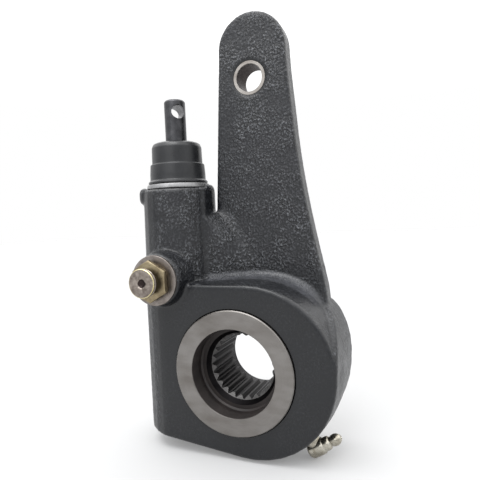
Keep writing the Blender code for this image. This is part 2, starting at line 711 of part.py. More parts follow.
def make_arm_bush(material):
    profile = ring_profile(BUSH_BORE_RADIUS, BUSH_OUTER_RADIUS, 0, ARM_THICKNESS, SMALL_CHAMFER)
    centre = (ARM_HOLE_X, ARM_FRONT_Y, ARM_REACH)
    add_object("arm_bush", turned(profile, ROUND_STEPS, centre, (0, 1, 0)), material)


def wheel_tooth_outline():
    """Involute teeth. A gap is centred on the side where the worm is."""
    base = WHEEL_PITCH_RADIUS * cos(PRESSURE_ANGLE)
    half_at_pitch = TOOTH_WIDTH / 2 / WHEEL_PITCH_RADIUS
    involute_at_pitch = tan(PRESSURE_ANGLE) - PRESSURE_ANGLE

    def half_angle(radius):
        angle = acos(min(1, base / radius))
        return half_at_pitch + involute_at_pitch - (tan(angle) - angle)

    radii = [WHEEL_ROOT_RADIUS, WHEEL_PITCH_RADIUS, WHEEL_TIP_RADIUS]
    points = []
    for tooth in range(WHEEL_TEETH):
        middle = pi + 2 * pi * (tooth + 0.5) / WHEEL_TEETH
        for radius in radii:
            angle = middle - half_angle(radius)
            points.append((radius * cos(angle), radius * sin(angle)))
        for radius in reversed(radii):
            angle = middle + half_angle(radius)
            points.append((radius * cos(angle), radius * sin(angle)))
    return points


def make_worm_gear(material, parent):
    """The wheel on the camshaft: hub, helical teeth, recesses and internal serration."""
    half_width = WHEEL_FACE_WIDTH / 2
    groove_front = front_seal_y() - SEAT_GAP / 2
    groove_rear = groove_front + FRONT_SEAL_WIDTH + SEAT_GAP
    groove_floor = HUB_FRONT_RADIUS - FRONT_SEAL_GROOVE_DEPTH
    under_teeth = WHEEL_ROOT_RADIUS - OVERLAP
    to_worm = -WORM_X - HUB_FRONT_RADIUS
    worm_half_depth = sqrt(max(0, WORM_TIP_RADIUS**2 - to_worm**2))
    journal_end = -max(half_width - OVERLAP, worm_half_depth + 2 * SEAT_GAP)
    hub = [
        (0, HUB_FRONT_Y),
        (HUB_FRONT_RADIUS - CHAMFER, HUB_FRONT_Y),
        (HUB_FRONT_RADIUS, HUB_FRONT_Y + CHAMFER),
        (HUB_FRONT_RADIUS, groove_front),
        (groove_floor, groove_front),
        (groove_floor, groove_rear),
        (HUB_FRONT_RADIUS, groove_rear),
        (HUB_FRONT_RADIUS, journal_end),
        (under_teeth, journal_end),
        (under_teeth, half_width - OVERLAP),
        (HUB_REAR_RADIUS, half_width - OVERLAP),
        (HUB_REAR_RADIUS, HUB_REAR_Y - CHAMFER),
        (HUB_REAR_RADIUS - CHAMFER, HUB_REAR_Y),
        (0, HUB_REAR_Y),
    ]
    gear = add_object("worm_gear", turned(hub, BODY_STEPS, axis=(0, 1, 0)), material, parent)
    helix = AXIAL_PITCH / (2 * pi * WORM_PITCH_RADIUS) / WHEEL_PITCH_RADIUS
    teeth = [(y, 0, -y * helix) for y in (-half_width, 0, half_width)]
    add_form(gear, "wheel_teeth", lofted(wheel_tooth_outline(), teeth), parent)
    recess_front = HUB_FRONT_Y + HUB_RECESS_DEPTH
    lip_end = recess_front + HUB_LIP_DEPTH
    serration_end = HUB_REAR_Y - HUB_REAR_BORE_DEPTH
    small_bore = SERRATION_MINOR_RADIUS - OVERLAP
    lead_in = SERRATION_MAJOR_RADIUS + RUN_GAP
    bore = [
        (0, HUB_FRONT_Y - OVERLAP),
        (HUB_RECESS_RADIUS + OVERLAP + CHAMFER, HUB_FRONT_Y - OVERLAP),
        (HUB_RECESS_RADIUS, HUB_FRONT_Y + CHAMFER),
        (HUB_RECESS_RADIUS, recess_front),
        (HUB_LIP_RADIUS, recess_front),
        (lead_in, lip_end),
        (small_bore, lip_end + lead_in - small_bore),
        (small_bore, serration_end),
        (HUB_REAR_BORE_RADIUS, serration_end),
        (HUB_REAR_BORE_RADIUS, HUB_REAR_Y - CHAMFER),
        (HUB_REAR_BORE_RADIUS + OVERLAP + CHAMFER, HUB_REAR_Y + OVERLAP),
        (0, HUB_REAR_Y + OVERLAP),
    ]
    cut_form(gear, "hub_bore", turned(bore, BODY_STEPS, axis=(0, 1, 0)), parent)
    serration = pointed(SERRATION_TEETH, SERRATION_MAJOR_RADIUS, SERRATION_MINOR_RADIUS)
    through = [(recess_front, 0), (serration_end + OVERLAP, 0)]
    cut_form(gear, "serration", lofted(serration, through), parent)


def front_seal_y():
    """The front edge of the seal in the wheel's front journal, half-way along it."""
    return (BODY_FRONT_Y + CAVITY_FRONT_Y - FRONT_SEAL_WIDTH) / 2


def make_gear_seals(material, parent):
    middle = front_seal_y() + FRONT_SEAL_WIDTH / 2
    outer = HUB_FRONT_RADIUS
    depth = FRONT_SEAL_GROOVE_DEPTH - RUN_GAP
    section = [
        (outer - depth / 2 + depth / 2 * x, middle + FRONT_SEAL_WIDTH / 2 * z)
        for x, z in circle(1, 6)
    ]
    front = turned(section, BODY_STEPS, axis=(0, 1, 0))
    add_object("gear_seal_front", front, material, parent)
    low = COVER_Y + SEAT_GAP
    inner = HUB_REAR_RADIUS + RUN_GAP
    profile = ring_profile(inner, inner + REAR_SEAL_DEPTH, low, low + SEAL_WIDTH)
    add_object("gear_seal_rear", turned(profile, BODY_STEPS, axis=(0, 1, 0)), material)


def make_wheel_closure(steel, plated):
    """What holds the wheel in the housing: thrust washer, cover and retaining ring."""
    outer = CAVITY_RADIUS - RUN_GAP
    inner = HUB_REAR_RADIUS + 2 * RUN_GAP
    washer_end = THRUST_WASHER_Y + THRUST_WASHER_THICKNESS
    washer = ring_profile(inner, WHEEL_PITCH_RADIUS - SEAT_GAP, THRUST_WASHER_Y, washer_end)
    add_object("gear_thrust_washer", turned(washer, BODY_STEPS, axis=(0, 1, 0)), steel)
    seal_pocket = inner + REAR_SEAL_DEPTH + RUN_GAP
    pocket_end = COVER_Y + SEAL_WIDTH + 2 * SEAT_GAP
    rear = COVER_Y + COVER_THICKNESS
    cover = [
        (seal_pocket, COVER_Y),
        (outer, COVER_Y),
        (outer, rear - SMALL_CHAMFER),
        (outer - SMALL_CHAMFER, rear),
        (inner + SMALL_CHAMFER, rear),
        (inner, rear - SMALL_CHAMFER),
        (inner, pocket_end),
        (seal_pocket, pocket_end),
    ]
    add_object("gear_cover", turned(cover, BODY_STEPS, axis=(0, 1, 0)), plated)
    ring = snap_ring(
        CAVITY_RADIUS + WHEEL_RING_GROOVE_DEPTH - SEAT_GAP / 2,
        RING_BREADTH_IN_GROOVES * WHEEL_RING_GROOVE_DEPTH,
        WHEEL_RING_Y,
        along_y,
        WHEEL_RING_OPENING,
    )
    add_object("gear_retaining_ring", ring, steel)


def snap_ring(outer, width, low, lift, opening, thickness=SNAP_RING_THICKNESS):
    """An open ring that springs into a groove, wider at its two ends."""
    steps = ROUND_STEPS
    outer_side = []
    inner_side = []
    for i in range(steps + 1):
        share = i / steps
        angle = -pi / 2 + opening / 2 + (2 * pi - opening) * share
        near_end = min(share, 1 - share) * steps < 1.5
        breadth = width * (1.25 if near_end else 0.75 + 0.25 * sin(pi * share))
        outer_side.append((outer * cos(angle), outer * sin(angle)))
        inner = outer - breadth
        inner_side.append((inner * cos(angle), inner * sin(angle)))
    outline = outer_side + inner_side[::-1]
    return lofted(outline, [(low, 0), (low + thickness, 0)], lift)


def make_worm(material, parent):
    """Worm, journals, splined stem above and turning hexagon below."""
    thinning = tan(PRESSURE_ANGLE)
    embedded = WORM_ROOT_RADIUS - OVERLAP

    def half_width(radius):
        return TOOTH_WIDTH / 2 + (WORM_PITCH_RADIUS - radius) * thinning

    section = [
        (embedded, -half_width(embedded)),
        (WORM_TIP_RADIUS, -half_width(WORM_TIP_RADIUS)),
        (WORM_TIP_RADIUS, half_width(WORM_TIP_RADIUS)),
        (embedded, half_width(embedded)),
    ]
    turns = WORM_THREAD_LENGTH / AXIAL_PITCH
    start_z = -WORM_THREAD_LENGTH / 2
    thread = coiled(
        section, AXIAL_PITCH, start_z, turns, SMALL_STEPS, 2 * pi * start_z / AXIAL_PITCH
    )
    ring_bottom = worm_stack()[2][0]
    hex_top = ring_bottom - SEAT_GAP
    neck = STEM_TIP_RADIUS + 3 * RUN_GAP
    lower_side = -WORM_THREAD_END
    shaft = [
        (0, hex_top - SMALL_CHAMFER),
        (WORM_NECK_RADIUS, hex_top - SMALL_CHAMFER),
        (WORM_NECK_RADIUS, WORM_LOWER_END),
        (WORM_JOURNAL_RADIUS - SMALL_CHAMFER, WORM_LOWER_END),
        (WORM_JOURNAL_RADIUS, WORM_LOWER_END + SMALL_CHAMFER),
        (WORM_JOURNAL_RADIUS, lower_side),
        (WORM_ROOT_RADIUS, lower_side),
        (WORM_ROOT_RADIUS, WORM_THREAD_END),
        (WORM_JOURNAL_RADIUS, WORM_THREAD_END),
        (WORM_JOURNAL_RADIUS, WORM_UPPER_END),
        (neck, WORM_UPPER_END),
        (neck, BARREL_FLOOR_TOP),
        (0, BARREL_FLOOR_TOP),
    ]
    worm = add_object("worm", turned(shaft, SMALL_STEPS), material, parent)
    add_form(worm, "worm_thread", thread, parent)
    stem = [
        (BARREL_FLOOR_TOP - SMALL_CHAMFER, 0),
        (STEM_TOP - SMALL_CHAMFER, 0),
        (STEM_TOP, -SMALL_CHAMFER),
    ]
    add_form(worm, "worm_stem", lofted(stem_outline(), stem, along_z), parent)
    hex_bottom = hex_top - WORM_HEX_LENGTH
    turning_hex = [(hex_bottom, -SMALL_CHAMFER), (hex_bottom + SMALL_CHAMFER, 0), (hex_top, 0)]
    add_form(worm, "worm_hexagon", lofted(hexagon(WORM_HEX_FLATS), turning_hex, along_z), parent)


def stem_outline():
    return toothed(
        STEM_TEETH, STEM_TIP_RADIUS, STEM_ROOT_RADIUS, STEM_TOOTH_WIDTH, STEM_SPACE_WIDTH
    )


def make_worm_closure(steel, rubber):
    """What holds the worm in the barrel from below: thrust washer, seal and retaining ring."""
    washer, seal, ring = worm_stack()
    outer = WORM_BORE_RADIUS - RUN_GAP
    inner = WORM_NECK_RADIUS + RUN_GAP
    centre = (WORM_X, 0, 0)
    add_object(
        "worm_thrust_washer",
        turned(ring_profile(inner, outer, *washer), ROUND_STEPS, centre),
        steel,
    )
    add_object(
        "worm_seal",
        turned(ring_profile(inner, outer, *seal), ROUND_STEPS, centre),
        rubber,
    )
    bm = snap_ring(
        WORM_BORE_RADIUS + WORM_RING_GROOVE_DEPTH - SEAT_GAP / 2,
        RING_BREADTH_IN_GROOVES * WORM_RING_GROOVE_DEPTH,
        ring[0],
        along_z,
        SMALL_RING_OPENING,
    )
    bm.transform(Matrix.Translation(centre))
    add_object("worm_retaining_ring", bm, steel)


def actuator_teeth(low, high, layer_height, growth=0.0):
    """Helical ratchet teeth round the worm's axis. A gap faces the pawl at rest."""
    first_tooth = -pi / 2 + pi / ACTUATOR_TEETH
    outline = pointed(ACTUATOR_TEETH, ACTUATOR_TIP_RADIUS, ACTUATOR_ROOT_RADIUS, first_tooth)
    layers = round((high - low) / layer_height)
    stations = []
    for i in range(layers + 1):
        z = low + (high - low) * i / layers
        stations.append((z, growth, 2 * pi * (z - PAWL_Z) / ACTUATOR_LEAD))
    return lofted(outline, stations, along_z)


def make_actuator(material, parent):
    """The sleeve that the pawl acts on. It slides on the worm's stem and turns the worm."""
    collar_radius = ACTUATOR_TIP_RADIUS
    teeth = actuator_teeth(ACTUATOR_BOTTOM, COLLAR_BOTTOM, TOOTH_LAYER)
    actuator = add_object("actuator", teeth, material, parent)
    collar = [
        (0, COLLAR_BOTTOM - OVERLAP),
        (ACTUATOR_ROOT_RADIUS, COLLAR_BOTTOM - OVERLAP),
        (collar_radius, COLLAR_BOTTOM + OVERLAP),
        (collar_radius, ACTUATOR_TOP - OVERLAP),
        (collar_radius - OVERLAP, ACTUATOR_TOP),
        (0, ACTUATOR_TOP),
    ]
    add_form(actuator, "actuator_collar", turned(collar, ROUND_STEPS), parent)
    ring_low = PISTON_TOP + SEAT_GAP
    ring_high = ring_low + PISTON_RING_THICKNESS
    groove = PISTON_BORE_RADIUS + PISTON_RING_GROOVE_DEPTH
    groove_gap = SEAT_GAP / 2
    bore = [
        (0, COLLAR_BOTTOM),
        (PISTON_BORE_RADIUS, COLLAR_BOTTOM),
        (PISTON_BORE_RADIUS, ring_low - groove_gap),
        (groove, ring_low - groove_gap),
        (groove, ring_high + groove_gap),
        (PISTON_BORE_RADIUS, ring_high + groove_gap),
        (PISTON_BORE_RADIUS, ACTUATOR_TOP + OVERLAP),
        (0, ACTUATOR_TOP + OVERLAP),
    ]
    cut_form(actuator, "piston_bore", turned(bore, ROUND_STEPS), parent)
    spline = [(ACTUATOR_BOTTOM - OVERLAP, RUN_GAP), (COLLAR_BOTTOM + OVERLAP, RUN_GAP)]
    cut_form(actuator, "stem_bore", lofted(stem_outline(), spline, along_z), parent)
    ring = snap_ring(
        groove - SEAT_GAP / 2,
        RING_BREADTH_IN_GROOVES * PISTON_RING_GROOVE_DEPTH,
        ring_low,
        along_z,
        SMALL_RING_OPENING,
        PISTON_RING_THICKNESS,
    )
    add_object("piston_retaining_ring", ring, material, parent)


def make_plunger(piston_steel, rod_steel, parent):
    """Piston, rod and the pin through both. They swivel in the actuator."""
    pin_hole_radius = PISTON_PIN_RADIUS + RUN_GAP
    rod_hole = ROD_RADIUS + RUN_GAP
    piston = add_object(
        "actuator_piston",
        turned(
            ring_profile(rod_hole, PISTON_RADIUS, PISTON_BOTTOM, PISTON_TOP, CHAMFER), ROUND_STEPS
        ),
        piston_steel,
        parent,
    )
    pin_hole = [
        (0, -2 * PISTON_RADIUS),
        (pin_hole_radius, -2 * PISTON_RADIUS),
        (pin_hole_radius, 2 * PISTON_RADIUS),
        (0, 2 * PISTON_RADIUS),
    ]
    pin_centre = (0, 0, PISTON_PIN_Z)
    pin_steps = SMALL_STEPS // 2
    pin_cut = turned(pin_hole, pin_steps, pin_centre, (1, 0, 0))
    cut_form(piston, "piston_pin_hole", pin_cut, parent)
    pin_half = PISTON_RADIUS - CHAMFER / 2
    pin = [
        (0, -pin_half),
        (PISTON_PIN_RADIUS - CHAMFER / 2, -pin_half),
        (PISTON_PIN_RADIUS, -pin_half + CHAMFER / 2),
        (PISTON_PIN_RADIUS, pin_half - CHAMFER / 2),
        (PISTON_PIN_RADIUS - CHAMFER / 2, pin_half),
        (0, pin_half),
    ]
    pin_solid = turned(pin, pin_steps, pin_centre, (1, 0, 0))
    add_object("piston_pin", pin_solid, piston_steel, parent)
    rod_profile = [
        (0, PISTON_BOTTOM),
        (ROD_RADIUS - CHAMFER, PISTON_BOTTOM),
        (ROD_RADIUS, PISTON_BOTTOM + CHAMFER),
        (ROD_RADIUS, ROD_TOP_Z - ROD_CHAMFER),
        (ROD_RADIUS - ROD_CHAMFER, ROD_TOP_Z),
        (0, ROD_TOP_Z),
    ]
    rod = add_object("actuator_rod", turned(rod_profile, SMALL_STEPS), rod_steel, parent)
    rod_pin_hole = turned(pin_hole, pin_steps, pin_centre, (1, 0, 0))
    cut_form(rod, "rod_pin_hole", rod_pin_hole, parent)
    link_hole = [
        (0, -2 * ROD_RADIUS),
        (LINK_HOLE_RADIUS, -2 * ROD_RADIUS),
        (LINK_HOLE_RADIUS, 2 * ROD_RADIUS),
        (0, 2 * ROD_RADIUS),
    ]
    through = (sin(LINK_HOLE_TURN), -cos(LINK_HOLE_TURN), 0)
    link_centre = (0, 0, ROD_TOP_Z - LINK_HOLE_BELOW_TOP)
    cut_form(rod, "link_hole", turned(link_hole, SMALL_STEPS, link_centre, through), parent)


def make_boot(rubber, steel):
    """The stepped boot, its foot in a ring on the barrel's mouth and its lip on the rod."""
    foot_radius = BOOT_RIM_RADIUS - BOOT_FOOT_RECESS
    ring_top = BOOT_FOOT_Z + BOOT_RING_HEIGHT
    rim_low = ring_top + SEAT_GAP
    base = BARREL_TOP_Z
    lip = ROD_RADIUS + RUN_GAP
    lower_inner = BOOT_LOWER_RADIUS - BOOT_WALL
    upper_inner = BOOT_UPPER_RADIUS - BOOT_WALL
    shoulder = arc(
        (BOOT_UPPER_RADIUS - BOOT_SHOULDER_RADIUS, base + BOOT_SHOULDER),
        BOOT_SHOULDER_RADIUS,
        0,
        pi / 2 - radians(12),
        3,
    )
    profile = [
        (lower_inner, BOOT_FOOT_Z),
        (foot_radius, BOOT_FOOT_Z),
        (foot_radius, rim_low),
        (BOOT_RIM_RADIUS, rim_low),
        (BOOT_RIM_RADIUS, base + BOOT_RIM_TOP - BOOT_EDGE),
        (BOOT_RIM_RADIUS - BOOT_EDGE, base + BOOT_RIM_TOP),
        (BOOT_LOWER_RADIUS + BOOT_DRAFT, base + BOOT_RIM_TOP + BOOT_EDGE),
        (BOOT_LOWER_RADIUS - BOOT_DRAFT, base + BOOT_STEP),
        (BOOT_UPPER_RADIUS + BOOT_DRAFT, base + BOOT_STEP + BOOT_EDGE / 3),
        *shoulder,
        (lip + BOOT_EDGE, base + BOOT_TOP),
        (lip, base + BOOT_TOP - BOOT_EDGE),
        (lip, base + BOOT_SHOULDER + BOOT_EDGE),
        (upper_inner - BOOT_EDGE, base + BOOT_SHOULDER + BOOT_EDGE),
        (upper_inner, base + BOOT_SHOULDER - BOOT_EDGE),
        (upper_inner, base + BOOT_STEP - BOOT_WALL),
        (lower_inner, base + BOOT_STEP - 2 * BOOT_WALL),
    ]
    add_object("boot", turned(profile, ROUND_STEPS, (WORM_X, 0, 0)), rubber)
    ring = [
        (foot_radius + RUN_GAP, BOOT_FOOT_Z),
        (BOOT_RING_FOOT_RADIUS - BOOT_EDGE, BOOT_FOOT_Z),
        (BOOT_RING_FOOT_RADIUS, BOOT_FOOT_Z + BOOT_EDGE),
        (BOOT_RIM_RADIUS + BOOT_EDGE, ring_top),
        (foot_radius + RUN_GAP, ring_top),
    ]
    add_object("boot_ring", turned(ring, ROUND_STEPS, (WORM_X, 0, 0)), steel)


def make_pawl(steel, button_steel, parent):
    """The pawl's head, with a face that fits the actuator's teeth, its stem and its button."""
    tip_reach = -ACTUATOR_ROOT_RADIUS
    stem_front = BUTTON_FACE_Y + BUTTON_THICKNESS / 2
    profile = [
        (0, stem_front),
        (PAWL_STEM_RADIUS - SMALL_CHAMFER, stem_front),
        (PAWL_STEM_RADIUS, stem_front + SMALL_CHAMFER),
        (PAWL_STEM_RADIUS, PAWL_HEAD_BACK_Y),
        (PAWL_HEAD_RADIUS - SMALL_CHAMFER, PAWL_HEAD_BACK_Y),
        (PAWL_HEAD_RADIUS, PAWL_HEAD_BACK_Y + SMALL_CHAMFER),
        (PAWL_HEAD_RADIUS, tip_reach),
        (0, tip_reach),
    ]
    pawl = add_object("pawl", turned(profile, SMALL_STEPS, axis=(0, 1, 0)), steel, parent)
    reach = 2 * PAWL_HEAD_RADIUS
    teeth = actuator_teeth(PAWL_Z - reach, PAWL_Z + reach, PAWL_TOOTH_LAYER, SEAT_GAP)
    teeth.transform(Matrix.Translation((0, -PAWL_TRAVEL_IN, -PAWL_Z)))
    cut_form(pawl, "pawl_teeth", teeth, parent)
    clear = [(0, -reach), (PAWL_TIP_RADIUS, -reach), (PAWL_TIP_RADIUS, reach), (0, reach)]
    cut_form(pawl, "pawl_clearance", turned(clear, 2 * BODY_STEPS), parent)
    button = [
        (0, BUTTON_FACE_Y + BUTTON_DIMPLE_DEPTH),
        (BUTTON_DIMPLE_RADIUS / 2, BUTTON_FACE_Y + BUTTON_DIMPLE_DEPTH),
        (BUTTON_DIMPLE_RADIUS, BUTTON_FACE_Y),
        (BUTTON_RADIUS - SMALL_CHAMFER, BUTTON_FACE_Y),
        (BUTTON_RADIUS, BUTTON_FACE_Y + SMALL_CHAMFER),
        (BUTTON_RADIUS, BUTTON_BACK_Y - SMALL_CHAMFER),
        (BUTTON_RADIUS - SMALL_CHAMFER, BUTTON_BACK_Y),
        (PAWL_STEM_RADIUS + RUN_GAP, BUTTON_BACK_Y),
        (PAWL_STEM_RADIUS + RUN_GAP, stem_front - SEAT_GAP),
        (0, stem_front - SEAT_GAP),
    ]
    add_object("pull_button", turned(button, ROUND_STEPS, axis=(0, 1, 0)), button_steel, parent)


def make_pawl_holder(plated, steel, spring_steel, parent):
    """The hexagon plug that the pawl slides in, its sealing washer and its spring."""
    chamber = PAWL_HEAD_RADIUS + RUN_GAP
    stem_hole = PAWL_STEM_RADIUS + RUN_GAP
    shank = [
        (0, PLUG_HEX_BACK_Y - CHAMFER),
        (PLUG_NECK_RADIUS, PLUG_HEX_BACK_Y - CHAMFER),
        (PLUG_NECK_RADIUS, PLUG_SEAT_Y),
        (PLUG_THREAD_RADIUS, PLUG_SEAT_Y),
        (PLUG_THREAD_RADIUS, PLUG_INNER_END_Y - CHAMFER),
        (PLUG_THREAD_RADIUS - CHAMFER, PLUG_INNER_END_Y),
        (0, PLUG_INNER_END_Y),
    ]
    plug = add_object("pawl_plug", turned(shank, SMALL_STEPS, axis=(0, 1, 0)), plated, parent)
    hexagon_stations = [
        (PLUG_HEX_FRONT_Y, -CHAMFER),
        (PLUG_HEX_FRONT_Y + CHAMFER * 0.6, 0),
        (PLUG_HEX_BACK_Y, 0),
    ]
    hex_solid = lofted(hexagon(PLUG_HEX_FLATS, pi / 6), hexagon_stations)
    add_form(plug, "plug_hexagon", hex_solid, parent)
    bore = [
        (0, PLUG_HEX_FRONT_Y - CHAMFER),
        (stem_hole, PLUG_HEX_FRONT_Y - CHAMFER),
        (stem_hole, PLUG_CHAMBER_FRONT_Y),
        (chamber, PLUG_CHAMBER_FRONT_Y),
        (chamber, PLUG_INNER_END_Y + CHAMFER),
        (0, PLUG_INNER_END_Y + CHAMFER),
    ]
    cut_form(plug, "plug_bore", turned(bore, SMALL_STEPS, axis=(0, 1, 0)), parent)
    low = WASHER_FRONT_Y
    washer = ring_profile(
        PLUG_THREAD_RADIUS + RUN_GAP, WASHER_RADIUS, low, low + WASHER_THICKNESS
    )
    add_object("pawl_washer", turned(washer, ROUND_STEPS, axis=(0, 1, 0)), steel, parent)
    wire = [(SPRING_RADIUS + x, z) for x, z in circle(SPRING_WIRE_RADIUS, 4)]
    room = PAWL_HEAD_BACK_Y - PLUG_CHAMBER_FRONT_Y
    lead = (room - 2 * SEAT_GAP - 2 * SPRING_WIRE_RADIUS) / SPRING_TURNS
    spring = coiled(wire, lead, SEAT_GAP + SPRING_WIRE_RADIUS, SPRING_TURNS, 12)
    to_y = Vector((0, 0, 1)).rotation_difference(Vector((0, 1, 0))).to_matrix().to_4x4()
    spring.transform(Matrix.Translation((0, PLUG_CHAMBER_FRONT_Y, 0)) @ to_y)
    add_object("pawl_spring", spring, spring_steel, parent)


def make_grease_fitting(material):
    """An elbow nipple: threaded stem in the body, round elbow, neck and ball head."""
    foot, outward = fitting_foot()
    elbow = foot + outward * (FITTING_STAND_OFF - BODY_DRAFT)
    head_way = Vector((cos(FITTING_HEAD_ANGLE), 0, sin(FITTING_HEAD_ANGLE)))
    body_r = FITTING_BODY_RADIUS
    ball_r = FITTING_BALL_RADIUS
    groove = FITTING_COLLAR_RADIUS * 0.8
    ball_start = body_r + FITTING_NECK_LENGTH
    ball_end = ball_start + 2 * ball_r
    head = [
        (0, -body_r - FITTING_EDGE),
        (body_r - 2 * FITTING_EDGE, -body_r - FITTING_EDGE),
        (body_r - FITTING_EDGE / 2, -body_r),
        (body_r, -body_r + FITTING_EDGE),
        (body_r, body_r - 2 * FITTING_EDGE),
        (body_r * 0.8, body_r),
        (groove, body_r + FITTING_EDGE / 2),
        (FITTING_COLLAR_RADIUS, body_r + FITTING_EDGE),
        (FITTING_COLLAR_RADIUS, ball_start - FITTING_EDGE),
        (groove, ball_start - FITTING_EDGE / 2),
        (groove, ball_start),
        (ball_r, ball_start + ball_r * 0.5),
        (ball_r, ball_start + ball_r * 1.1),
        (ball_r * 0.78, ball_start + ball_r * 1.6),
        (ball_r * 0.4, ball_end),
        (0, ball_end),
    ]
    fitting = add_object("grease_fitting", turned(head, SMALL_STEPS, elbow, head_way), material)
    stem_end = -0.6 * (BODY_RADIUS - CAVITY_RADIUS)
    above = (elbow - foot).length
    collar = body_r * 0.8
    stem = [
        (0, stem_end),
        (FITTING_STEM_RADIUS, stem_end),
        (FITTING_STEM_RADIUS, SEAT_GAP),
        (collar, SEAT_GAP),
        (collar, above),
        (0, above),
    ]
    add_form(fitting, "fitting_stem", turned(stem, SMALL_STEPS, foot, outward))


def main():
    clear_scene()
    painted_iron = finish_material("painted_iron", "34353a", 0.45, 0.1)
    machined_steel = finish_material("machined_steel", "9a938d", 0.35, 1.0)
    dark_steel = finish_material("dark_steel", "4b4b4e", 0.4, 1.0)
    zinc_plate = finish_material("zinc_plate", "a9a9a6", 0.35, 1.0)
    yellow_zinc = finish_material("yellow_zinc", "b9a878", 0.35, 1.0)
    spring_steel = finish_material("spring_steel", "77767a", 0.3, 1.0)
    seal_rubber = finish_material("seal_rubber", "1c1c1e", 0.7, 0.0)
    boot_rubber = finish_material("boot_rubber", "26272a", 0.5, 0.0)
    gear_axis = add_axis("gear_axis", (0, 0, 0))
    worm_axis = add_axis("worm_axis", (WORM_X, 0, 0))
    pawl_axis = add_axis("pawl_axis", (WORM_X, 0, PAWL_Z))
    make_housing(painted_iron)
    make_arm_bush(machined_steel)
    make_worm_gear(machined_steel, gear_axis)
    make_gear_seals(seal_rubber, gear_axis)
    make_wheel_closure(machined_steel, zinc_plate)
    make_worm(dark_steel, worm_axis)
    make_worm_closure(dark_steel, seal_rubber)
    make_actuator(dark_steel, worm_axis)
    make_plunger(machined_steel, dark_steel, worm_axis)
    make_boot(boot_rubber, zinc_plate)
    make_pawl(machined_steel, yellow_zinc, pawl_axis)
    make_pawl_holder(yellow_zinc, zinc_plate, spring_steel, pawl_axis)
    make_grease_fitting(zinc_plate)


main()
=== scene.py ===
"""Looks for the brake slack adjuster: finishes, fine shapes, light and the photograph's view.

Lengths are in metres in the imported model's frame. The origin is on the camshaft bore's axis, +Y
runs along that bore away from the viewer, and +Z up along the worm.
"""

from math import cos, pi, radians, sin, sqrt

import bmesh
import bpy
import numpy as np
from mathutils import Matrix, Vector


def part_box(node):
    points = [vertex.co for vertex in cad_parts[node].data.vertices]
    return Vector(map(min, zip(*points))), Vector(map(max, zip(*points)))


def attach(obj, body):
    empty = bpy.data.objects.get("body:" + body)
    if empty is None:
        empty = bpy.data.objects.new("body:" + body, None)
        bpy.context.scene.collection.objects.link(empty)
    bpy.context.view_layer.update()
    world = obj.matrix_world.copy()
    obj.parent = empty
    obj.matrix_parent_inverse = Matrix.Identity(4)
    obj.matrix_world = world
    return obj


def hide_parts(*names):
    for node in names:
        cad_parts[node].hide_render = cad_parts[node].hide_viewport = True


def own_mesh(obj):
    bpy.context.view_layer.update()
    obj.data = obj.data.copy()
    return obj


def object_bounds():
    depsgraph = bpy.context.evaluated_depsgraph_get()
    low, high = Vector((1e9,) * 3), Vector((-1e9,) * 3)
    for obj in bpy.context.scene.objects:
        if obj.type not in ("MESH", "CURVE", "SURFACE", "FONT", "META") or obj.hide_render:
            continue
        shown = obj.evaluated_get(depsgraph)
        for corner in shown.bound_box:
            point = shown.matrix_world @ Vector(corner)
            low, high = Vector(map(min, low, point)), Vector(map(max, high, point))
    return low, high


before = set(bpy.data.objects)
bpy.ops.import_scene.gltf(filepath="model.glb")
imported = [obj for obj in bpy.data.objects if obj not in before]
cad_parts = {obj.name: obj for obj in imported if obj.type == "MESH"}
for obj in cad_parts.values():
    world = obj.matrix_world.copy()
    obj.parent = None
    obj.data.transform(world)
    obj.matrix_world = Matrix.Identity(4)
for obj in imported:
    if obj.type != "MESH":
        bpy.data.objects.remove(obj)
CAD_BOX = [list(corner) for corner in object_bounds()]

MM = 0.001
Y_AXIS = (0, 1, 0)
EDGE_ANGLE = radians(35)  # edges sharper than this aren't shaded over

# Camera, fitted to the photograph
CAMERA_PLACE = (0.10619, -0.25560, 0.08482)
CAMERA_RIGHT = (0.9287, 0.3690, -0.0429)
CAMERA_UP = (0.0205, 0.0644, 0.9981)
CAMERA_LENS = 35.59
CAMERA_SHIFT = (-0.02236, 0.0034)


def box(node):
    """A CAD piece's lowest and highest corner."""
    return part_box(node)


def middle(node):
    """The middle of a CAD piece's box."""
    low, high = box(node)
    return (low + high) / 2


# Places and sizes read from the frame
WORM_X = middle("worm").x
PAWL_Z = middle("pawl_plug").z
HOLE = middle("arm_bush")
ARM_FRONT = box("arm_bush")[0].y
ARM_REAR = box("arm_bush")[1].y
WHEEL_FRONT = box("worm_gear")[0].y
WHEEL_REAR = box("worm_gear")[1].y
BARREL_TOP = box("boot")[0].z - 0.3 * MM
FLOOR_Z = CAD_BOX[0][2]

# Sizes of the casting
BODY_FRONT = -24.2 * MM
BODY_X = 8.5 * MM
BODY_Z = 0.4 * MM
BODY_RADIUS = 48.0 * MM
WHEEL_BORE_RADIUS = 35.0 * MM
ARM_HOLE_RADIUS = 9.8 * MM
ARM_FULLNESS = 1.5 * MM
BARREL_RADIUS = 21.6 * MM
COVE_LENGTH = 12.0 * MM
COVE_HEIGHT = 3.2 * MM

# The casting's mesh and its sand grain
VOXEL = 0.45 * MM
ROUNDING = 14  # rounds of smoothing all over
RAMP_ROUNDING = 200  # rounds on the ramp from barrel to arm
LUMP_SIZE, LUMP_HEIGHT = 6 * MM, 0.16 * MM
PEBBLE_SIZE, PEBBLE_HEIGHT = 1.2 * MM, 0.42 * MM
GRAIN_LEVELS = 20  # steps of the vertex group's weight


def linear(colour):
    """An sRGB hex colour as linear RGBA."""
    channels = [int(colour[i : i + 2], 16) / 255 for i in (0, 2, 4)]
    return [c / 12.92 if c <= 0.04045 else ((c + 0.055) / 1.055) ** 2.4 for c in channels] + [1]


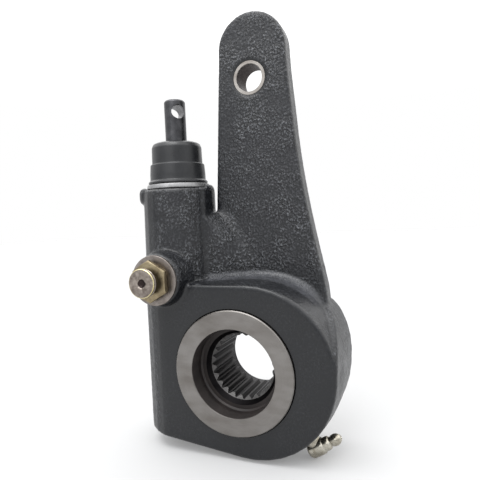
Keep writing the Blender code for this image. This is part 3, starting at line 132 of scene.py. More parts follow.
def add_node(tree, kind, settings=None, values=None, links=None):
    """A shader node. Values set its inputs, and links join other nodes' outputs to them."""
    made = tree.nodes.new(kind)
    for name, value in (settings or {}).items():
        setattr(made, name, value)
    for name, value in (values or {}).items():
        made.inputs[name].default_value = value
    for name, output in (links or {}).items():
        tree.links.new(output, made.inputs[name])
    return made


def new_material(name, colour, roughness, metallic, **sockets):
    """A principled material, its node tree and its shader."""
    material = bpy.data.materials.new(name)
    material.use_nodes = True
    shader = material.node_tree.nodes["Principled BSDF"]
    shader.inputs["Base Color"].default_value = linear(colour)
    shader.inputs["Roughness"].default_value = roughness
    shader.inputs["Metallic"].default_value = metallic
    for name, value in sockets.items():
        shader.inputs[name.replace("_", " ")].default_value = value
    return material, material.node_tree, shader


def object_coordinates(tree):
    return add_node(tree, "ShaderNodeTexCoord").outputs["Object"]


def noise_value(tree, size, detail=2.0, rough=0.5, stretch=(1, 1, 1)):
    """Noise whose lumps are about the given size across, in metres."""
    scaled = add_node(
        tree,
        "ShaderNodeMapping",
        values={"Scale": stretch},
        links={"Vector": object_coordinates(tree)},
    )
    made = add_node(
        tree,
        "ShaderNodeTexNoise",
        values={"Scale": 1 / size, "Detail": detail, "Roughness": rough},
        links={"Vector": scaled.outputs["Vector"]},
    )
    return made.outputs["Fac"]


def ramp(tree, value, stops):
    """A colour ramp from (position, hex colour) stops."""
    made = add_node(tree, "ShaderNodeValToRGB", links={"Fac": value})
    elements = made.color_ramp.elements
    while len(elements) < len(stops):
        elements.new(0.5)
    for element, (position, colour) in zip(elements, stops):
        element.position = position
        element.color = linear(colour)
    return made.outputs["Color"]


def spread(tree, value, low, high, from_low=0.3, from_high=0.7):
    """Maps a value, noise by default, to a range of numbers."""
    made = add_node(
        tree,
        "ShaderNodeMapRange",
        values={"From Min": from_low, "From Max": from_high, "To Min": low, "To Max": high},
        links={"Value": value},
    )
    return made.outputs["Result"]


def mixed(tree, factor, first, second):
    """The first colour where the factor is 0, and the second where it is 1."""
    made = add_node(tree, "ShaderNodeMix", {"data_type": "RGBA", "blend_type": "MIX"})
    tree.links.new(factor, made.inputs["Factor"])
    tree.links.new(first, made.inputs["A"])
    tree.links.new(second, made.inputs["B"])
    return made.outputs["Result"]


def bump(tree, shader, height, depth, strength=1.0, after=None):
    """Bumps on a shader's surface, on top of earlier ones where given."""
    made = add_node(
        tree,
        "ShaderNodeBump",
        values={"Strength": strength, "Distance": depth},
        links={"Height": height},
    )
    if after is not None:
        tree.links.new(after, made.inputs["Normal"])
    tree.links.new(made.outputs["Normal"], shader.inputs["Normal"])
    return made.outputs["Normal"]


def combined(tree, first, second, operation="MULTIPLY"):
    """Two values multiplied, or joined by another operation."""
    made = add_node(tree, "ShaderNodeMath", {"operation": operation})
    tree.links.new(first, made.inputs[0])
    tree.links.new(second, made.inputs[1])
    return made.outputs[0]


def painted_attribute(tree, name):
    """A value that the casting's mesh carries."""
    return add_node(tree, "ShaderNodeAttribute", {"attribute_name": name}).outputs["Fac"]


def plain_colour(tree, colour):
    made = add_node(tree, "ShaderNodeRGB")
    made.outputs[0].default_value = linear(colour)
    return made.outputs[0]


def painted_cast_iron():
    """Black paint over sand-cast iron.

    The eye sees it dark and glossy where it is smooth. On the sand's grain the raised tips are
    painted light grey, partly worn paint and partly a painted glint, and the pits between them
    get painted shade. The hollow over the body's front is painted a lighter grey, standing in for
    the overhead light that falls on it.
    """
    material, tree, shader = new_material("painted_cast_iron", "1a1b1e", 0.4, 0.0, IOR=1.5)
    coarse = painted_attribute(tree, "grain_size")
    height = painted_attribute(tree, "grain_height")
    patches = noise_value(tree, 16 * MM, 3, 0.6)
    grain = combined(tree, coarse, spread(tree, patches, 0.3, 1.0, 0.4, 0.6))
    smooth_colour = ramp(tree, patches, [(0.35, "080a0e"), (0.65, "0b0d11")])
    rough_colour = ramp(tree, patches, [(0.35, "131418"), (0.65, "0e0f12")])
    base = mixed(tree, coarse, smooth_colour, rough_colour)
    sand = noise_value(tree, 1.1 * MM, 2, 0.55, (1, 1, 0.85))
    # painted shade in the grain's pits; painted glint, partly worn paint, on its raised tips
    pit_shade = combined(tree, spread(tree, sand, 1, 0, 0.4, 0.49), grain)
    tip_glint_and_wear = combined(tree, spread(tree, sand, 0, 1, 0.51, 0.63), grain)
    raised_glint_and_wear = combined(tree, tip_glint_and_wear, spread(tree, height, 0.5, 1, 0.4, 0.7))
    pit_shaded = mixed(tree, pit_shade, base, plain_colour(tree, "050608"))
    glint_speckled = mixed(tree, raised_glint_and_wear, pit_shaded, plain_colour(tree, "606266"))
    # painted light: the hollow over the body's front is coloured lighter grey for overhead light
    cove_light = painted_attribute(tree, "painted_cove_light")
    cove_light_colour = ramp(tree, noise_value(tree, 3 * MM, 3), [(0.35, "333437"), (0.65, "414246")])
    tree.links.new(mixed(tree, cove_light, glint_speckled, cove_light_colour), shader.inputs["Base Color"])
    gloss = spread(tree, noise_value(tree, 4 * MM, 3), -0.03, 0.06)
    roughness = combined(tree, spread(tree, coarse, 0.27, 0.42, 0.0, 1.0), gloss, "ADD")
    tree.links.new(roughness, shader.inputs["Roughness"])
    first = bump(tree, shader, combined(tree, sand, grain), 0.95 * MM, 1.0)
    bump(tree, shader, noise_value(tree, 0.45 * MM, 3, 0.6), 0.025 * MM, 0.5, first)
    return material


def turned_steel(name, colour, dark, light, roughness, ring_size=0.35 * MM, metallic=1.0):
    """Bare turned steel: fine rings round the axis, and soft stains."""
    material, tree, shader = new_material(name, colour, roughness, metallic)
    stains = noise_value(tree, 16 * MM, 3, 0.5, (1, 1, 2.4))
    tint = ramp(tree, stains, [(0.3, dark), (0.7, light)])
    tree.links.new(tint, shader.inputs["Base Color"])
    parts = add_node(tree, "ShaderNodeSeparateXYZ", links={"Vector": object_coordinates(tree)})
    across = add_node(
        tree, "ShaderNodeCombineXYZ", links={"X": parts.outputs["X"], "Y": parts.outputs["Z"]}
    )
    length = add_node(
        tree, "ShaderNodeVectorMath", {"operation": "LENGTH"}, links={"Vector": across.outputs[0]}
    )
    rings = add_node(
        tree,
        "ShaderNodeTexNoise",
        {"noise_dimensions": "1D"},
        {"Scale": 1 / ring_size, "Detail": 2.0},
        {"W": length.outputs["Value"]},
    )
    gloss = spread(tree, rings.outputs["Fac"], roughness - 0.08, roughness + 0.12)
    tree.links.new(gloss, shader.inputs["Roughness"])
    bump(tree, shader, rings.outputs["Fac"], 0.02 * MM, 0.5)
    return material


def plated_steel(name, colour, dark, light, roughness, patch=5 * MM):
    """Zinc or nickel plate: patchy tint and slightly uneven gloss."""
    material, tree, shader = new_material(name, colour, roughness, 1.0)
    cloudy = noise_value(tree, patch, 4, 0.55)
    tree.links.new(ramp(tree, cloudy, [(0.32, dark), (0.68, light)]), shader.inputs["Base Color"])
    fine = noise_value(tree, 0.8 * MM, 3)
    gloss = spread(tree, fine, roughness - 0.08, roughness + 0.12)
    tree.links.new(gloss, shader.inputs["Roughness"])
    bump(tree, shader, fine, 0.02 * MM, 0.4)
    return material


def moulded_rubber(name, colour, dark, light, roughness):
    """Black moulded rubber with a dusty bloom."""
    material, tree, shader = new_material(name, colour, roughness, 0.0, IOR=1.52)
    bloom = noise_value(tree, 7 * MM, 4, 0.6, (1, 1, 0.5))
    tree.links.new(ramp(tree, bloom, [(0.35, dark), (0.7, light)]), shader.inputs["Base Color"])
    gloss = spread(tree, bloom, roughness - 0.08, roughness + 0.14)
    tree.links.new(gloss, shader.inputs["Roughness"])
    bump(tree, shader, noise_value(tree, 0.4 * MM, 2), 0.012 * MM, 0.5)
    return material


def make_object(name, bm, material, centre=(0, 0, 0)):
    """An object at a centre, from a bmesh written round it, with smooth shading."""
    bmesh.ops.recalc_face_normals(bm, faces=bm.faces)
    if bm.calc_volume(signed=True) < 0:
        bmesh.ops.reverse_faces(bm, faces=bm.faces)
    mesh = bpy.data.meshes.new(name)
    bm.to_mesh(mesh)
    bm.free()
    mesh.shade_smooth()
    mesh.set_sharp_from_angle(angle=EDGE_ANGLE)
    if material:
        mesh.materials.append(material)
    obj = bpy.data.objects.new(name, mesh)
    obj.location = centre
    bpy.context.scene.collection.objects.link(obj)
    return obj


def turned(profile, steps=112, axis=(0, 0, 1)):
    """A profile of (radius, height) points spun round an axis through the origin."""
    bm = bmesh.new()
    verts = [bm.verts.new((radius, 0, height)) for radius, height in profile]
    edges = [bm.edges.new(pair) for pair in zip(verts, verts[1:])]
    if profile[0][0] > 0:
        edges.append(bm.edges.new((verts[-1], verts[0])))
    bmesh.ops.spin(
        bm,
        geom=verts + edges,
        cent=(0, 0, 0),
        axis=(0, 0, 1),
        angle=2 * pi,
        steps=steps,
        use_merge=True,
    )
    bmesh.ops.remove_doubles(bm, verts=bm.verts, dist=1e-7)
    turn = Vector((0, 0, 1)).rotation_difference(Vector(axis)).to_matrix().to_4x4()
    bm.transform(turn)
    return bm


def softened(profile, radius, steps=3):
    """The same profile with its inner corners rounded, as far as its short sides allow."""
    points = [Vector(p) for p in profile]
    rounded = [points[0]]
    for before, corner, after in zip(points, points[1:], points[2:]):
        back, on = before - corner, after - corner
        reach = min(radius, 0.45 * back.length, 0.45 * on.length)
        start = corner + back.normalized() * reach
        end = corner + on.normalized() * reach
        for i in range(steps + 1):
            t = i / steps
            rounded.append(start * (1 - t) ** 2 + corner * 2 * t * (1 - t) + end * t**2)
    rounded.append(points[-1])
    return [tuple(p) for p in rounded]


def evaluated(obj):
    """Applies an object's modifiers."""
    graph = bpy.context.evaluated_depsgraph_get()
    mesh = bpy.data.meshes.new_from_object(obj.evaluated_get(graph))
    obj.modifiers.clear()
    old = obj.data
    obj.data = mesh
    bpy.data.meshes.remove(old)
    return obj


def cut(target, bm, operation="DIFFERENCE"):
    """Applies a Boolean with a helper that is deleted afterwards."""
    tool = make_object("tool", bm, None, target.location)
    modifier = target.modifiers.new("cut", "BOOLEAN")
    modifier.operation = operation
    modifier.solver = "EXACT"
    modifier.object = tool
    evaluated(target)
    bpy.data.objects.remove(tool)
    target.data.shade_smooth()
    target.data.set_sharp_from_angle(angle=EDGE_ANGLE)


def place(obj, body, slot, *replaced):
    """Puts a piece on its body, in place of CAD pieces."""
    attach(obj, body)
    if replaced:
        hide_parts(*replaced)


# Casting


def points_of(mesh):
    values = np.empty(len(mesh.vertices) * 3)
    mesh.vertices.foreach_get("co", values)
    return values.reshape(-1, 3)


def normals_of(mesh):
    values = np.empty(len(mesh.vertices) * 3, np.float32)
    mesh.vertex_normals.foreach_get("vector", values)
    return values.reshape(-1, 3).astype(float)


def smoothed(points, edges, weight, rounds):
    """Moves each point towards its neighbours' mean, weighted from 0 to 1."""
    count = np.bincount(edges.ravel(), minlength=len(points)).astype(float)
    count[count == 0] = 1
    for _ in range(rounds):
        sums = np.zeros_like(points)
        for axis in range(3):
            sums[:, axis] = np.bincount(
                edges[:, 0], points[edges[:, 1], axis], len(points)
            ) + np.bincount(edges[:, 1], points[edges[:, 0], axis], len(points))
        mean = sums / count[:, None]
        points = points + (mean - points) * (0.6 * weight)[:, None]
    return points


def smoothed_part(points, edges, weight, rounds):
    """The same, on the points that have a weight and their neighbours only."""
    chosen = edges[(weight[edges] > 0).any(axis=1)]
    near = np.unique(chosen)
    order = np.zeros(len(points), np.int64)
    order[near] = np.arange(len(near))
    points = points.copy()
    points[near] = smoothed(points[near], order[chosen], weight[near], rounds)
    return points


def step(value, low, high):
    """0 below low, 1 above high, smooth between."""
    t = np.clip((value - low) / (high - low), 0, 1)
    return t * t * (3 - 2 * t)


def between(value, low, full, waning, high):
    """0 outside low and high, 1 from full to waning, smooth between."""
    return step(value, low, full) * (1 - step(value, waning, high))


def cast_weights(points):
    """How much each point may be rounded, and how coarse the sand's grain is there."""
    x, y, z = points.T
    from_wheel = np.hypot(x, z)
    from_hole = np.hypot(x - HOLE.x, z - HOLE.z)
    from_worm = np.hypot(x - WORM_X, y)
    from_pawl = np.hypot(x - WORM_X, z - PAWL_Z)
    in_worm_bore = (from_worm < BARREL_RADIUS - 3.2 * MM) & (z > -60 * MM)
    free = step(from_wheel, WHEEL_BORE_RADIUS + 1.6 * MM, WHEEL_BORE_RADIUS + 3.5 * MM)
    free *= step(from_hole, ARM_HOLE_RADIUS + 0.6 * MM, ARM_HOLE_RADIUS + 2.2 * MM)
    free[in_worm_bore] = 0
    boss_mouth = (from_pawl < 10.5 * MM) & (y < -19 * MM)
    free[boss_mouth] = 0
    coarse = 0.5 * np.ones(len(points))
    arm = step(z, 50 * MM, 56 * MM) * step(y, ARM_FRONT - 4 * MM, ARM_FRONT - 2 * MM)
    coarse += 0.5 * arm * (0.45 + 0.55 * step(x + 0.06 * z, 0, 9 * MM))
    barrel = (from_worm < BARREL_RADIUS + 2.5 * MM) & (z > 52 * MM) & (z < BARREL_TOP - 2 * MM)
    past_worm = x - WORM_X
    grainy = between(past_worm, -7 * MM, 1 * MM, 17 * MM, 20 * MM)
    coarse[barrel] = (0.2 + 0.65 * grainy)[barrel]
    web = between(past_worm, 20 * MM, 24 * MM, 46 * MM, 52 * MM)
    web *= (z > 50 * MM) * (z < 90 * MM) * (y < 8 * MM)
    coarse = np.maximum(coarse, 0.9 * web)
    face = step(-y, -BODY_FRONT - 2.0 * MM, -BODY_FRONT - 0.8 * MM) * (z < 51 * MM)
    coarse *= 1 - 0.78 * face
    return free, coarse * free


def displace(obj, name, size, strength, group, **settings):
    """Cloudy relief with lumps of a size and a height, where the vertex group says."""
    texture = bpy.data.textures.new(name, "CLOUDS")
    texture.noise_scale = size
    for key, value in settings.items():
        setattr(texture, key, value)
    modifier = obj.modifiers.new(name, "DISPLACE")
    modifier.texture = texture
    modifier.texture_coords = "LOCAL"
    modifier.strength = strength
    modifier.mid_level = 0.5
    modifier.vertex_group = group


def add_solid(bm, corners):
    """A convex solid round some corners, given in millimetres."""
    verts = [bm.verts.new(Vector(corner) * MM) for corner in corners]
    bmesh.ops.convex_hull(bm, input=verts)


def shape_casting(casting):
    """The ramp from barrel to arm, the barrel's lug, and the rim's end that bares the boot's ring.

    The numbers are millimetres. The ramp's are (right of the worm, depth, height).
    """
    x, top = WORM_X / MM, BARREL_TOP / MM
    rim_end = bmesh.new()
    ends = [(x + side, y) for side in (-26, 26) for y in (-9.5, -3.0)]
    add_solid(rim_end, [(u, v, z) for u, v in ends for z in (top + 0.04, top + 6)])
    cut(casting, rim_end)
    bm = bmesh.new()
    bm.from_mesh(casting.data)
    ramp_foot = 40
    ramp_top = [
        (5, -8.6, 85.5), (20.5, -8.6, 85.5), (28, -5, 79), (36, -0.6, 68), (46, 4.6, 52),
        (5, 6, 88.4), (21, 6, 88.4), (31, 6, 84), (46, 6, 60),
    ]
    add_solid(bm, [(x + u, v, z) for u, v, high in ramp_top for z in (ramp_foot, high)])
    lug_radius, lug_stand_out, lug_way = 7.5, 2.2, radians(208)
    reach = BARREL_RADIUS / MM + lug_stand_out - lug_radius
    lug_x, lug_y = x + reach * cos(lug_way), reach * sin(lug_way)
    rounds = [
        (4.7, -8.8), (6.7, -8.0), (lug_radius, -6.0), (lug_radius, -1.4), (6.7, 0.6), (4.7, 1.4),
    ]
    lug_bm = bmesh.new()
    add_solid(lug_bm, [
        (lug_x + r * cos(pi / 16 * i), lug_y + r * sin(pi / 16 * i), top + z)
        for r, z in rounds
        for i in range(32)
    ])
    lug = make_object("lug", lug_bm, None)
    room, far_up = 19.3 * MM, 0.2
    ring_room = turned([(0, BARREL_TOP), (room, BARREL_TOP), (room, far_up), (0, far_up)], 96)
    ring_room.transform(Matrix.Translation((WORM_X, 0, 0.05 * MM)))
    cut(lug, ring_room)
    bm.from_mesh(lug.data)
    bpy.data.objects.remove(lug)
    bm.to_mesh(casting.data)
    bm.free()


def widened(points):
    """The arm's right side, a little fuller below the tip than the straight draft."""
    x, y, z = points.T
    share = step(x, HOLE.x + 10.5 * MM, HOLE.x + 19 * MM) * step(y, ARM_FRONT - 5 * MM, ARM_FRONT)
    share = share * step(z, 30 * MM, 46 * MM) * (1 - step(z, 140 * MM, 184 * MM))
    moved = points.copy()
    moved[:, 0] += ARM_FULLNESS * share
    return moved


def coved(points):
    """The body's top, which sweeps up to the arm and its ramp in a long shallow hollow."""
    x, y, z = points.T
    past_centre = np.maximum(x - BODY_X, 0)
    distance = np.hypot(past_centre, z - BODY_Z)
    above = distance - BODY_RADIUS
    ramp_ends = [WORM_X + 20.5 * MM, WORM_X + 46 * MM]
    front = np.interp(x, ramp_ends, [-8.6 * MM, ARM_FRONT])
    length = np.interp(x, ramp_ends, [0.6 * COVE_LENGTH, COVE_LENGTH])
    along = np.clip((y - front) / length + 1, 0, 1)
    rise = COVE_HEIGHT * (1 - np.sqrt(1 - along**2))
    share = (1 - step(above, 0, 7 * MM)) * step(above, -2.5 * MM, -1.2 * MM)
    share = share * step(z, 24 * MM, 34 * MM) * (y < front + 0.6 * MM)
    arm_edge = 42 * MM + 0.2 * (50 * MM - z)
    share = share * (1 - step(x - arm_edge, -7 * MM, 1 * MM))
    share = share * step(x, WORM_X + 20 * MM, WORM_X + 23 * MM)
    outward = np.stack([past_centre, 0 * y, z - BODY_Z], 1) / distance[:, None]
    # mask of painted light: the hollow's band is painted lighter grey for the overhead light on it
    cove_light = step(along, 0.05, 0.35) * share * (1 - step(above, 2.5 * MM, 5 * MM))
    return points + outward * (rise * share)[:, None], cove_light


def bulged(points):
    """The rear half's fuller upper right side, and the wheel bore's crisp front edge."""
    x, y, z = points.T
    moved = points.copy()
    distance = np.hypot(x - BODY_X, z - BODY_Z)
    angle = np.degrees(np.arctan2(z - BODY_Z, x - BODY_X))
    angles, pushes = [-10, 0, 8, 20, 32, 38, 43, 48], [0, 0.2, 0.9, 2.1, 3.2, 3.4, 2.8, 0]
    push = np.interp(angle, angles, pushes) * MM
    crease = np.interp(angle, [-10, 10, 20, 30, 42], [-24, -23, -17, -8, 4]) * MM
    share = step(y - crease, -1.5 * MM, 1.5 * MM)
    share = share * step(distance, BODY_RADIUS - 5 * MM, BODY_RADIUS - 2.5 * MM)
    lift = np.minimum(np.maximum(BODY_RADIUS + push - distance, 0), push) * share
    moved[:, 0] += lift * (x - BODY_X) / distance
    moved[:, 2] += lift * (z - BODY_Z) / distance
    from_wheel = np.hypot(x, z)
    rounded_edge = (y < BODY_FRONT + 1.5 * MM) & (from_wheel > WHEEL_BORE_RADIUS + 0.2 * MM)
    rounded_edge &= from_wheel < WHEEL_BORE_RADIUS + 2.0 * MM
    moved[rounded_edge, 1] = BODY_FRONT
    return moved


def make_casting(material):
    """The housing as cast: corners rounded by the sand mould, and its grain in the surface."""
    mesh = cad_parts["housing"].data.copy()
    casting = bpy.data.objects.new("casting", mesh)
    bpy.context.scene.collection.objects.link(casting)
    shape_casting(casting)
    remesh = casting.modifiers.new("even_mesh", "REMESH")
    remesh.mode = "VOXEL"
    remesh.voxel_size = VOXEL
    evaluated(casting)
    mesh = casting.data
    points, cove_light = coved(widened(bulged(points_of(mesh))))
    side_facing = 1 - step(abs(normals_of(mesh)[:, 1]), 0.3, 0.7)
    edges = np.empty(len(mesh.edges) * 2, np.int64)
    mesh.edges.foreach_get("vertices", edges)
    free, coarse = cast_weights(points)
    x, y, z = points.T
    blend = between(x - WORM_X, 21.5 * MM, 26 * MM, 48 * MM, 56 * MM)
    blend = blend * (y < ARM_FRONT + 1 * MM) * between(z, 53 * MM, 57 * MM, 90 * MM, 94 * MM)
    points = smoothed_part(points, edges.reshape(-1, 2), blend, RAMP_ROUNDING)
    points = smoothed(points, edges.reshape(-1, 2), 0.12 + 0.88 * free, ROUNDING)
    coarse *= 1 - 0.5 * side_facing * (z > 56 * MM) * (y > ARM_FRONT)
    mesh.vertices.foreach_set("co", points.ravel())
    mesh.update()
    group = casting.vertex_groups.new(name="coarse")
    for level in range(1, GRAIN_LEVELS + 1):
        chosen = np.nonzero(np.round(coarse * GRAIN_LEVELS) == level)[0]
        group.add(chosen.tolist(), level / GRAIN_LEVELS, "REPLACE")
    displace(casting, "lumps", LUMP_SIZE, LUMP_HEIGHT, "coarse")
    displace(casting, "pebbles", PEBBLE_SIZE, PEBBLE_HEIGHT, "coarse", noise_depth=1)
    evaluated(casting)
    mesh = casting.data
    moved = points_of(mesh)
    height_range = 0.3 * MM
    height = np.einsum("ij,ij->i", moved - points, normals_of(mesh)) / height_range + 0.5
    casting.vertex_groups.clear()
    # painted_cove_light carries the hollow's painted overhead light to the shader
    for name, values in (("grain_size", coarse), ("grain_height", height), ("painted_cove_light", cove_light)):
        attribute = mesh.attributes.new(name, "FLOAT", "POINT")
        attribute.data.foreach_set("value", values.astype(np.float32))
    mesh.shade_smooth()
    mesh.materials.clear()
    mesh.materials.append(material)
    place(casting, "housing", "painted_iron", "housing")


# Pieces


def make_bush(material, bore_material):
    """The clevis bush, bare at its ends and oily in its bore."""
    bore = 7.9 * MM
    outer = 9.75 * MM
    length = ARM_REAR - ARM_FRONT
    edge = 0.2 * MM
    profile = [
        (bore, length / 2),
        (bore, edge),
        (bore + edge, 0),
        (outer - edge / 2, 0),
        (outer, edge / 2),
        (outer, length - edge / 2),
        (outer - edge / 2, length),
        (bore + edge, length),
        (bore, length - edge),
    ]
    bush = make_object(
        "clevis_bush", turned(profile, 96, Y_AXIS), material, (HOLE.x, ARM_FRONT, HOLE.z)
    )
    bush.data.materials.append(bore_material)
    for polygon in bush.data.polygons:
        radius = sqrt(polygon.center.x**2 + polygon.center.z**2)
        polygon.material_index = 1 if radius < bore + 0.02 * MM else 0
    place(bush, "housing", "bush_steel", "arm_bush")


def toothed_outline(teeth, tip, root, tip_share, root_share, steps=3):
    """V-shaped serration with narrow flats, as polar points."""
    points = []
    pitch = 2 * pi / teeth
    for tooth in range(teeth):
        start = tooth * pitch
        for radius, share, side in ((tip, tip_share, 0), (root, root_share, 0.5)):
            for i in range(steps):
                angle = start + pitch * (side + share * (i / (steps - 1) - 0.5))
                points.append((radius * cos(angle), radius * sin(angle)))
    return points


def extruded(outline, low, high):
    """An XZ outline extruded along Y."""
    bm = bmesh.new()
    rings = [[bm.verts.new((u, y, v)) for u, v in outline] for y in (low, high)]
    for i in range(len(outline)):
        bm.faces.new((rings[0][i - 1], rings[0][i], rings[1][i], rings[1][i - 1]))
    bm.faces.new(rings[0])
    bm.faces.new(rings[1])
    return bm


def make_wheel(face_material, bore_material, recess_material, end_material):
    """The wheel's hub with its bare front ring, stepped recess and serration."""
    outer = 34.92 * MM
    recess = 24.5 * MM
    lip = 21.4 * MM
    major = 19.2 * MM
    minor = 17.5 * MM
    lead_in = 19.4 * MM
    journal = 27.6 * MM
    rear_bore = 19.35 * MM
    edge = 0.5 * MM
    front = WHEEL_FRONT
    floor = front + 11.6 * MM
    lip_end = floor + 3.0 * MM
    serration_end = WHEEL_REAR - 6.5 * MM
    inside = minor - 1 * MM
    tooth_root = 29.5 * MM
    collar_rear = -9.9 * MM
    teeth_rear = 8.0 * MM
    profile = [
        (inside, lip_end + lead_in - inside),
        (lead_in, lip_end),
        (lip, floor),
        (recess - 0.9 * MM, floor - 0.1 * MM),
        (recess, floor - 1.0 * MM),
        (recess, front + 0.4 * MM),
        (recess + 0.25 * MM, front),
        (outer - edge, front),
        (outer, front + edge),
        (outer, -17.0 * MM),
        (outer, collar_rear),
        (tooth_root, collar_rear),
        (tooth_root, teeth_rear),
        (journal, teeth_rear),
        (journal, WHEEL_REAR - edge),
        (journal - edge, WHEEL_REAR),
        (rear_bore + 2 * edge, WHEEL_REAR),
        (rear_bore, WHEEL_REAR - 2 * edge),
        (rear_bore, serration_end),
        (inside, serration_end),
    ]
    wheel = make_object("wheel_hub", turned(profile, 144, Y_AXIS), face_material)
    outline = toothed_outline(24, major, minor, 0.16, 0.22)
    cut(wheel, extruded(outline, front, serration_end + 1 * MM))
    for material in (bore_material, recess_material, end_material):
        wheel.data.materials.append(material)
    for polygon in wheel.data.polygons:
        centre = polygon.center
        radius = sqrt(centre.x**2 + centre.z**2)
        in_recess = radius < recess - 0.05 * MM or (
            radius < recess + 0.2 * MM and abs(polygon.normal.y) < 0.5
        )
        on_rear_face = centre.y > WHEEL_REAR - 0.1 * MM
        polygon.material_index = 1 if in_recess and not on_rear_face else 0
        if radius > lip - 0.1 * MM and in_recess and centre.y < floor + 1 * MM:
            polygon.material_index = 2
        if radius < lead_in and centre.y < lip_end + 2.5 * MM and polygon.normal.y < -0.3:
            polygon.material_index = 3
    place(wheel, "wheel", "wheel_steel")


def make_wheel_teeth(material):
    """The helical teeth round the wheel, hidden in the housing."""
    teeth_count = 24
    module = 2.75 * MM
    pitch_radius = 12 * module
    half_width = 8.5 * MM
    helix = 0.1528  # sideways shift per length, as the worm's thread climbs
    core_radius, core_half = 28 * MM, 9 * MM
    tip, root = pitch_radius + module, pitch_radius - 1.2 * module
    outline = toothed_outline(teeth_count, tip, root, 0.22, 0.3, 2)
    turn = pi / teeth_count
    bm = bmesh.new()
    rings = []
    for y in (-half_width, -half_width / 3, half_width / 3, half_width):
        angle = turn - y * helix / pitch_radius
        c, s = cos(angle), sin(angle)
        rings.append([bm.verts.new((u * c - v * s, y, u * s + v * c)) for u, v in outline])
    for lower, upper in zip(rings, rings[1:]):
        for i in range(len(outline)):
            bm.faces.new((lower[i - 1], lower[i], upper[i], upper[i - 1]))
    bm.faces.new(rings[0])
    bm.faces.new(rings[-1])
    teeth = make_object("wheel_teeth", bm, material)
    core = [(0, -core_half), (core_radius, -core_half), (core_radius, core_half), (0, core_half)]
    cut(teeth, turned(core, 96, Y_AXIS))
    place(teeth, "wheel", "wheel_steel", "worm_gear")


def make_boot(material, ring_material):
    """The stepped boot, with soft corners, and the pale ring that clamps its foot."""
    base = BARREL_TOP
    profile = [
        (14.7, 0.4), (16.6, 0.4), (16.6, 3.35), (17.9, 3.4), (17.85, 4.6), (17.3, 5.0),
        (16.75, 5.5), (16.7, 9.0), (16.3, 14.3), (16.15, 14.95), (15.35, 15.05), (15.2, 15.6),
        (15.1, 20.0), (15.0, 25.0), (14.1, 27.1), (12.4, 27.95), (9.0, 28.25), (6.9, 28.2),
        (6.5, 27.8), (6.5, 25.8), (12.4, 25.6), (13.2, 24.0), (13.2, 13.6), (14.7, 11.0),
    ]
    shape = softened([(r * MM, z * MM) for r, z in profile], 0.5 * MM)
    boot = make_object("boot", turned(shape), material, (WORM_X, 0, base))
    place(boot, "housing", "boot_rubber", "boot")
    ring = [(16.85, 0.35), (18.9, 0.35), (18.9, 1.1), (18.5, 2.95), (16.85, 2.95)]
    shape = softened([(r * MM, z * MM) for r, z in ring], 0.35 * MM)
    clamp = make_object("boot_clamp", turned(shape), ring_material, (WORM_X, 0, base))
    place(clamp, "housing", "boot_ring_steel", "boot_ring")


def make_rod(material, hole_material):
    """The actuator rod with its link hole, whose edges are eased."""
    low, high = box("actuator_rod")
    radius = (high.x - low.x) / 2
    top = high.z
    profile = softened(
        [(0, low.z), (radius - 0.6 * MM, low.z), (radius, low.z + 0.6 * MM),
         (radius, top - 1.2 * MM), (radius - 1.0 * MM, top - 0.15 * MM), (0, top)],
        0.5 * MM,
    )
    rod = make_object("rod", turned(profile, 96), material, (WORM_X, 0, 0))
    hole = 4.0 * MM
    hole_z = top - 7.7 * MM
    turn = radians(50)
    reach = 3 * radius
    flare = 0.7 * MM
    wall = radius * 0.94
    drill = [
        (0, -reach), (hole + flare + reach - wall, -reach), (hole, -wall), (hole, wall),
        (hole + flare + reach - wall, reach), (0, reach),
    ]
    way = Vector((sin(turn), -cos(turn), 0))
    bm = turned(drill, 64, way)
    bm.transform(Matrix.Translation((0, 0, hole_z)))
    cut(rod, bm)
    rod.data.materials.append(hole_material)
    for polygon in rod.data.polygons:
        arm = polygon.center - Vector((0, 0, hole_z))
        from_axis = (arm - way * arm.dot(way)).length
        polygon.material_index = 1 if from_axis < hole + 0.01 * MM else 0
    pin_radius = 2.2 * MM
    pin_hole = [(0, -reach), (pin_radius, -reach), (pin_radius, reach), (0, reach)]
    bm = turned(pin_hole, 32, (1, 0, 0))
    bm.transform(Matrix.Translation((0, 0, middle("piston_pin").z)))
    cut(rod, bm)
    place(rod, "plunger", "rod_steel", "actuator_rod")


def hexagon_head(flats, low, high, chamfer):
    """A hexagon head along Y with a cone turned on its front corners."""
    radius = flats / sqrt(3)
    corners = [pi / 6 + pi / 3 * i for i in range(6)]
    outline = [(radius * cos(angle), radius * sin(angle)) for angle in corners]
    head = make_object("pawl_plug", extruded(outline, low, high), None)
    around = radius + 0.2 * MM
    cone = [
        (0, low), (flats / 2 - 0.2 * MM, low), (around, low + chamfer), (around, high + 1 * MM),
        (0, high + 1 * MM),
    ]
    cut(head, turned(cone, 128, Y_AXIS), "INTERSECT")
    return head


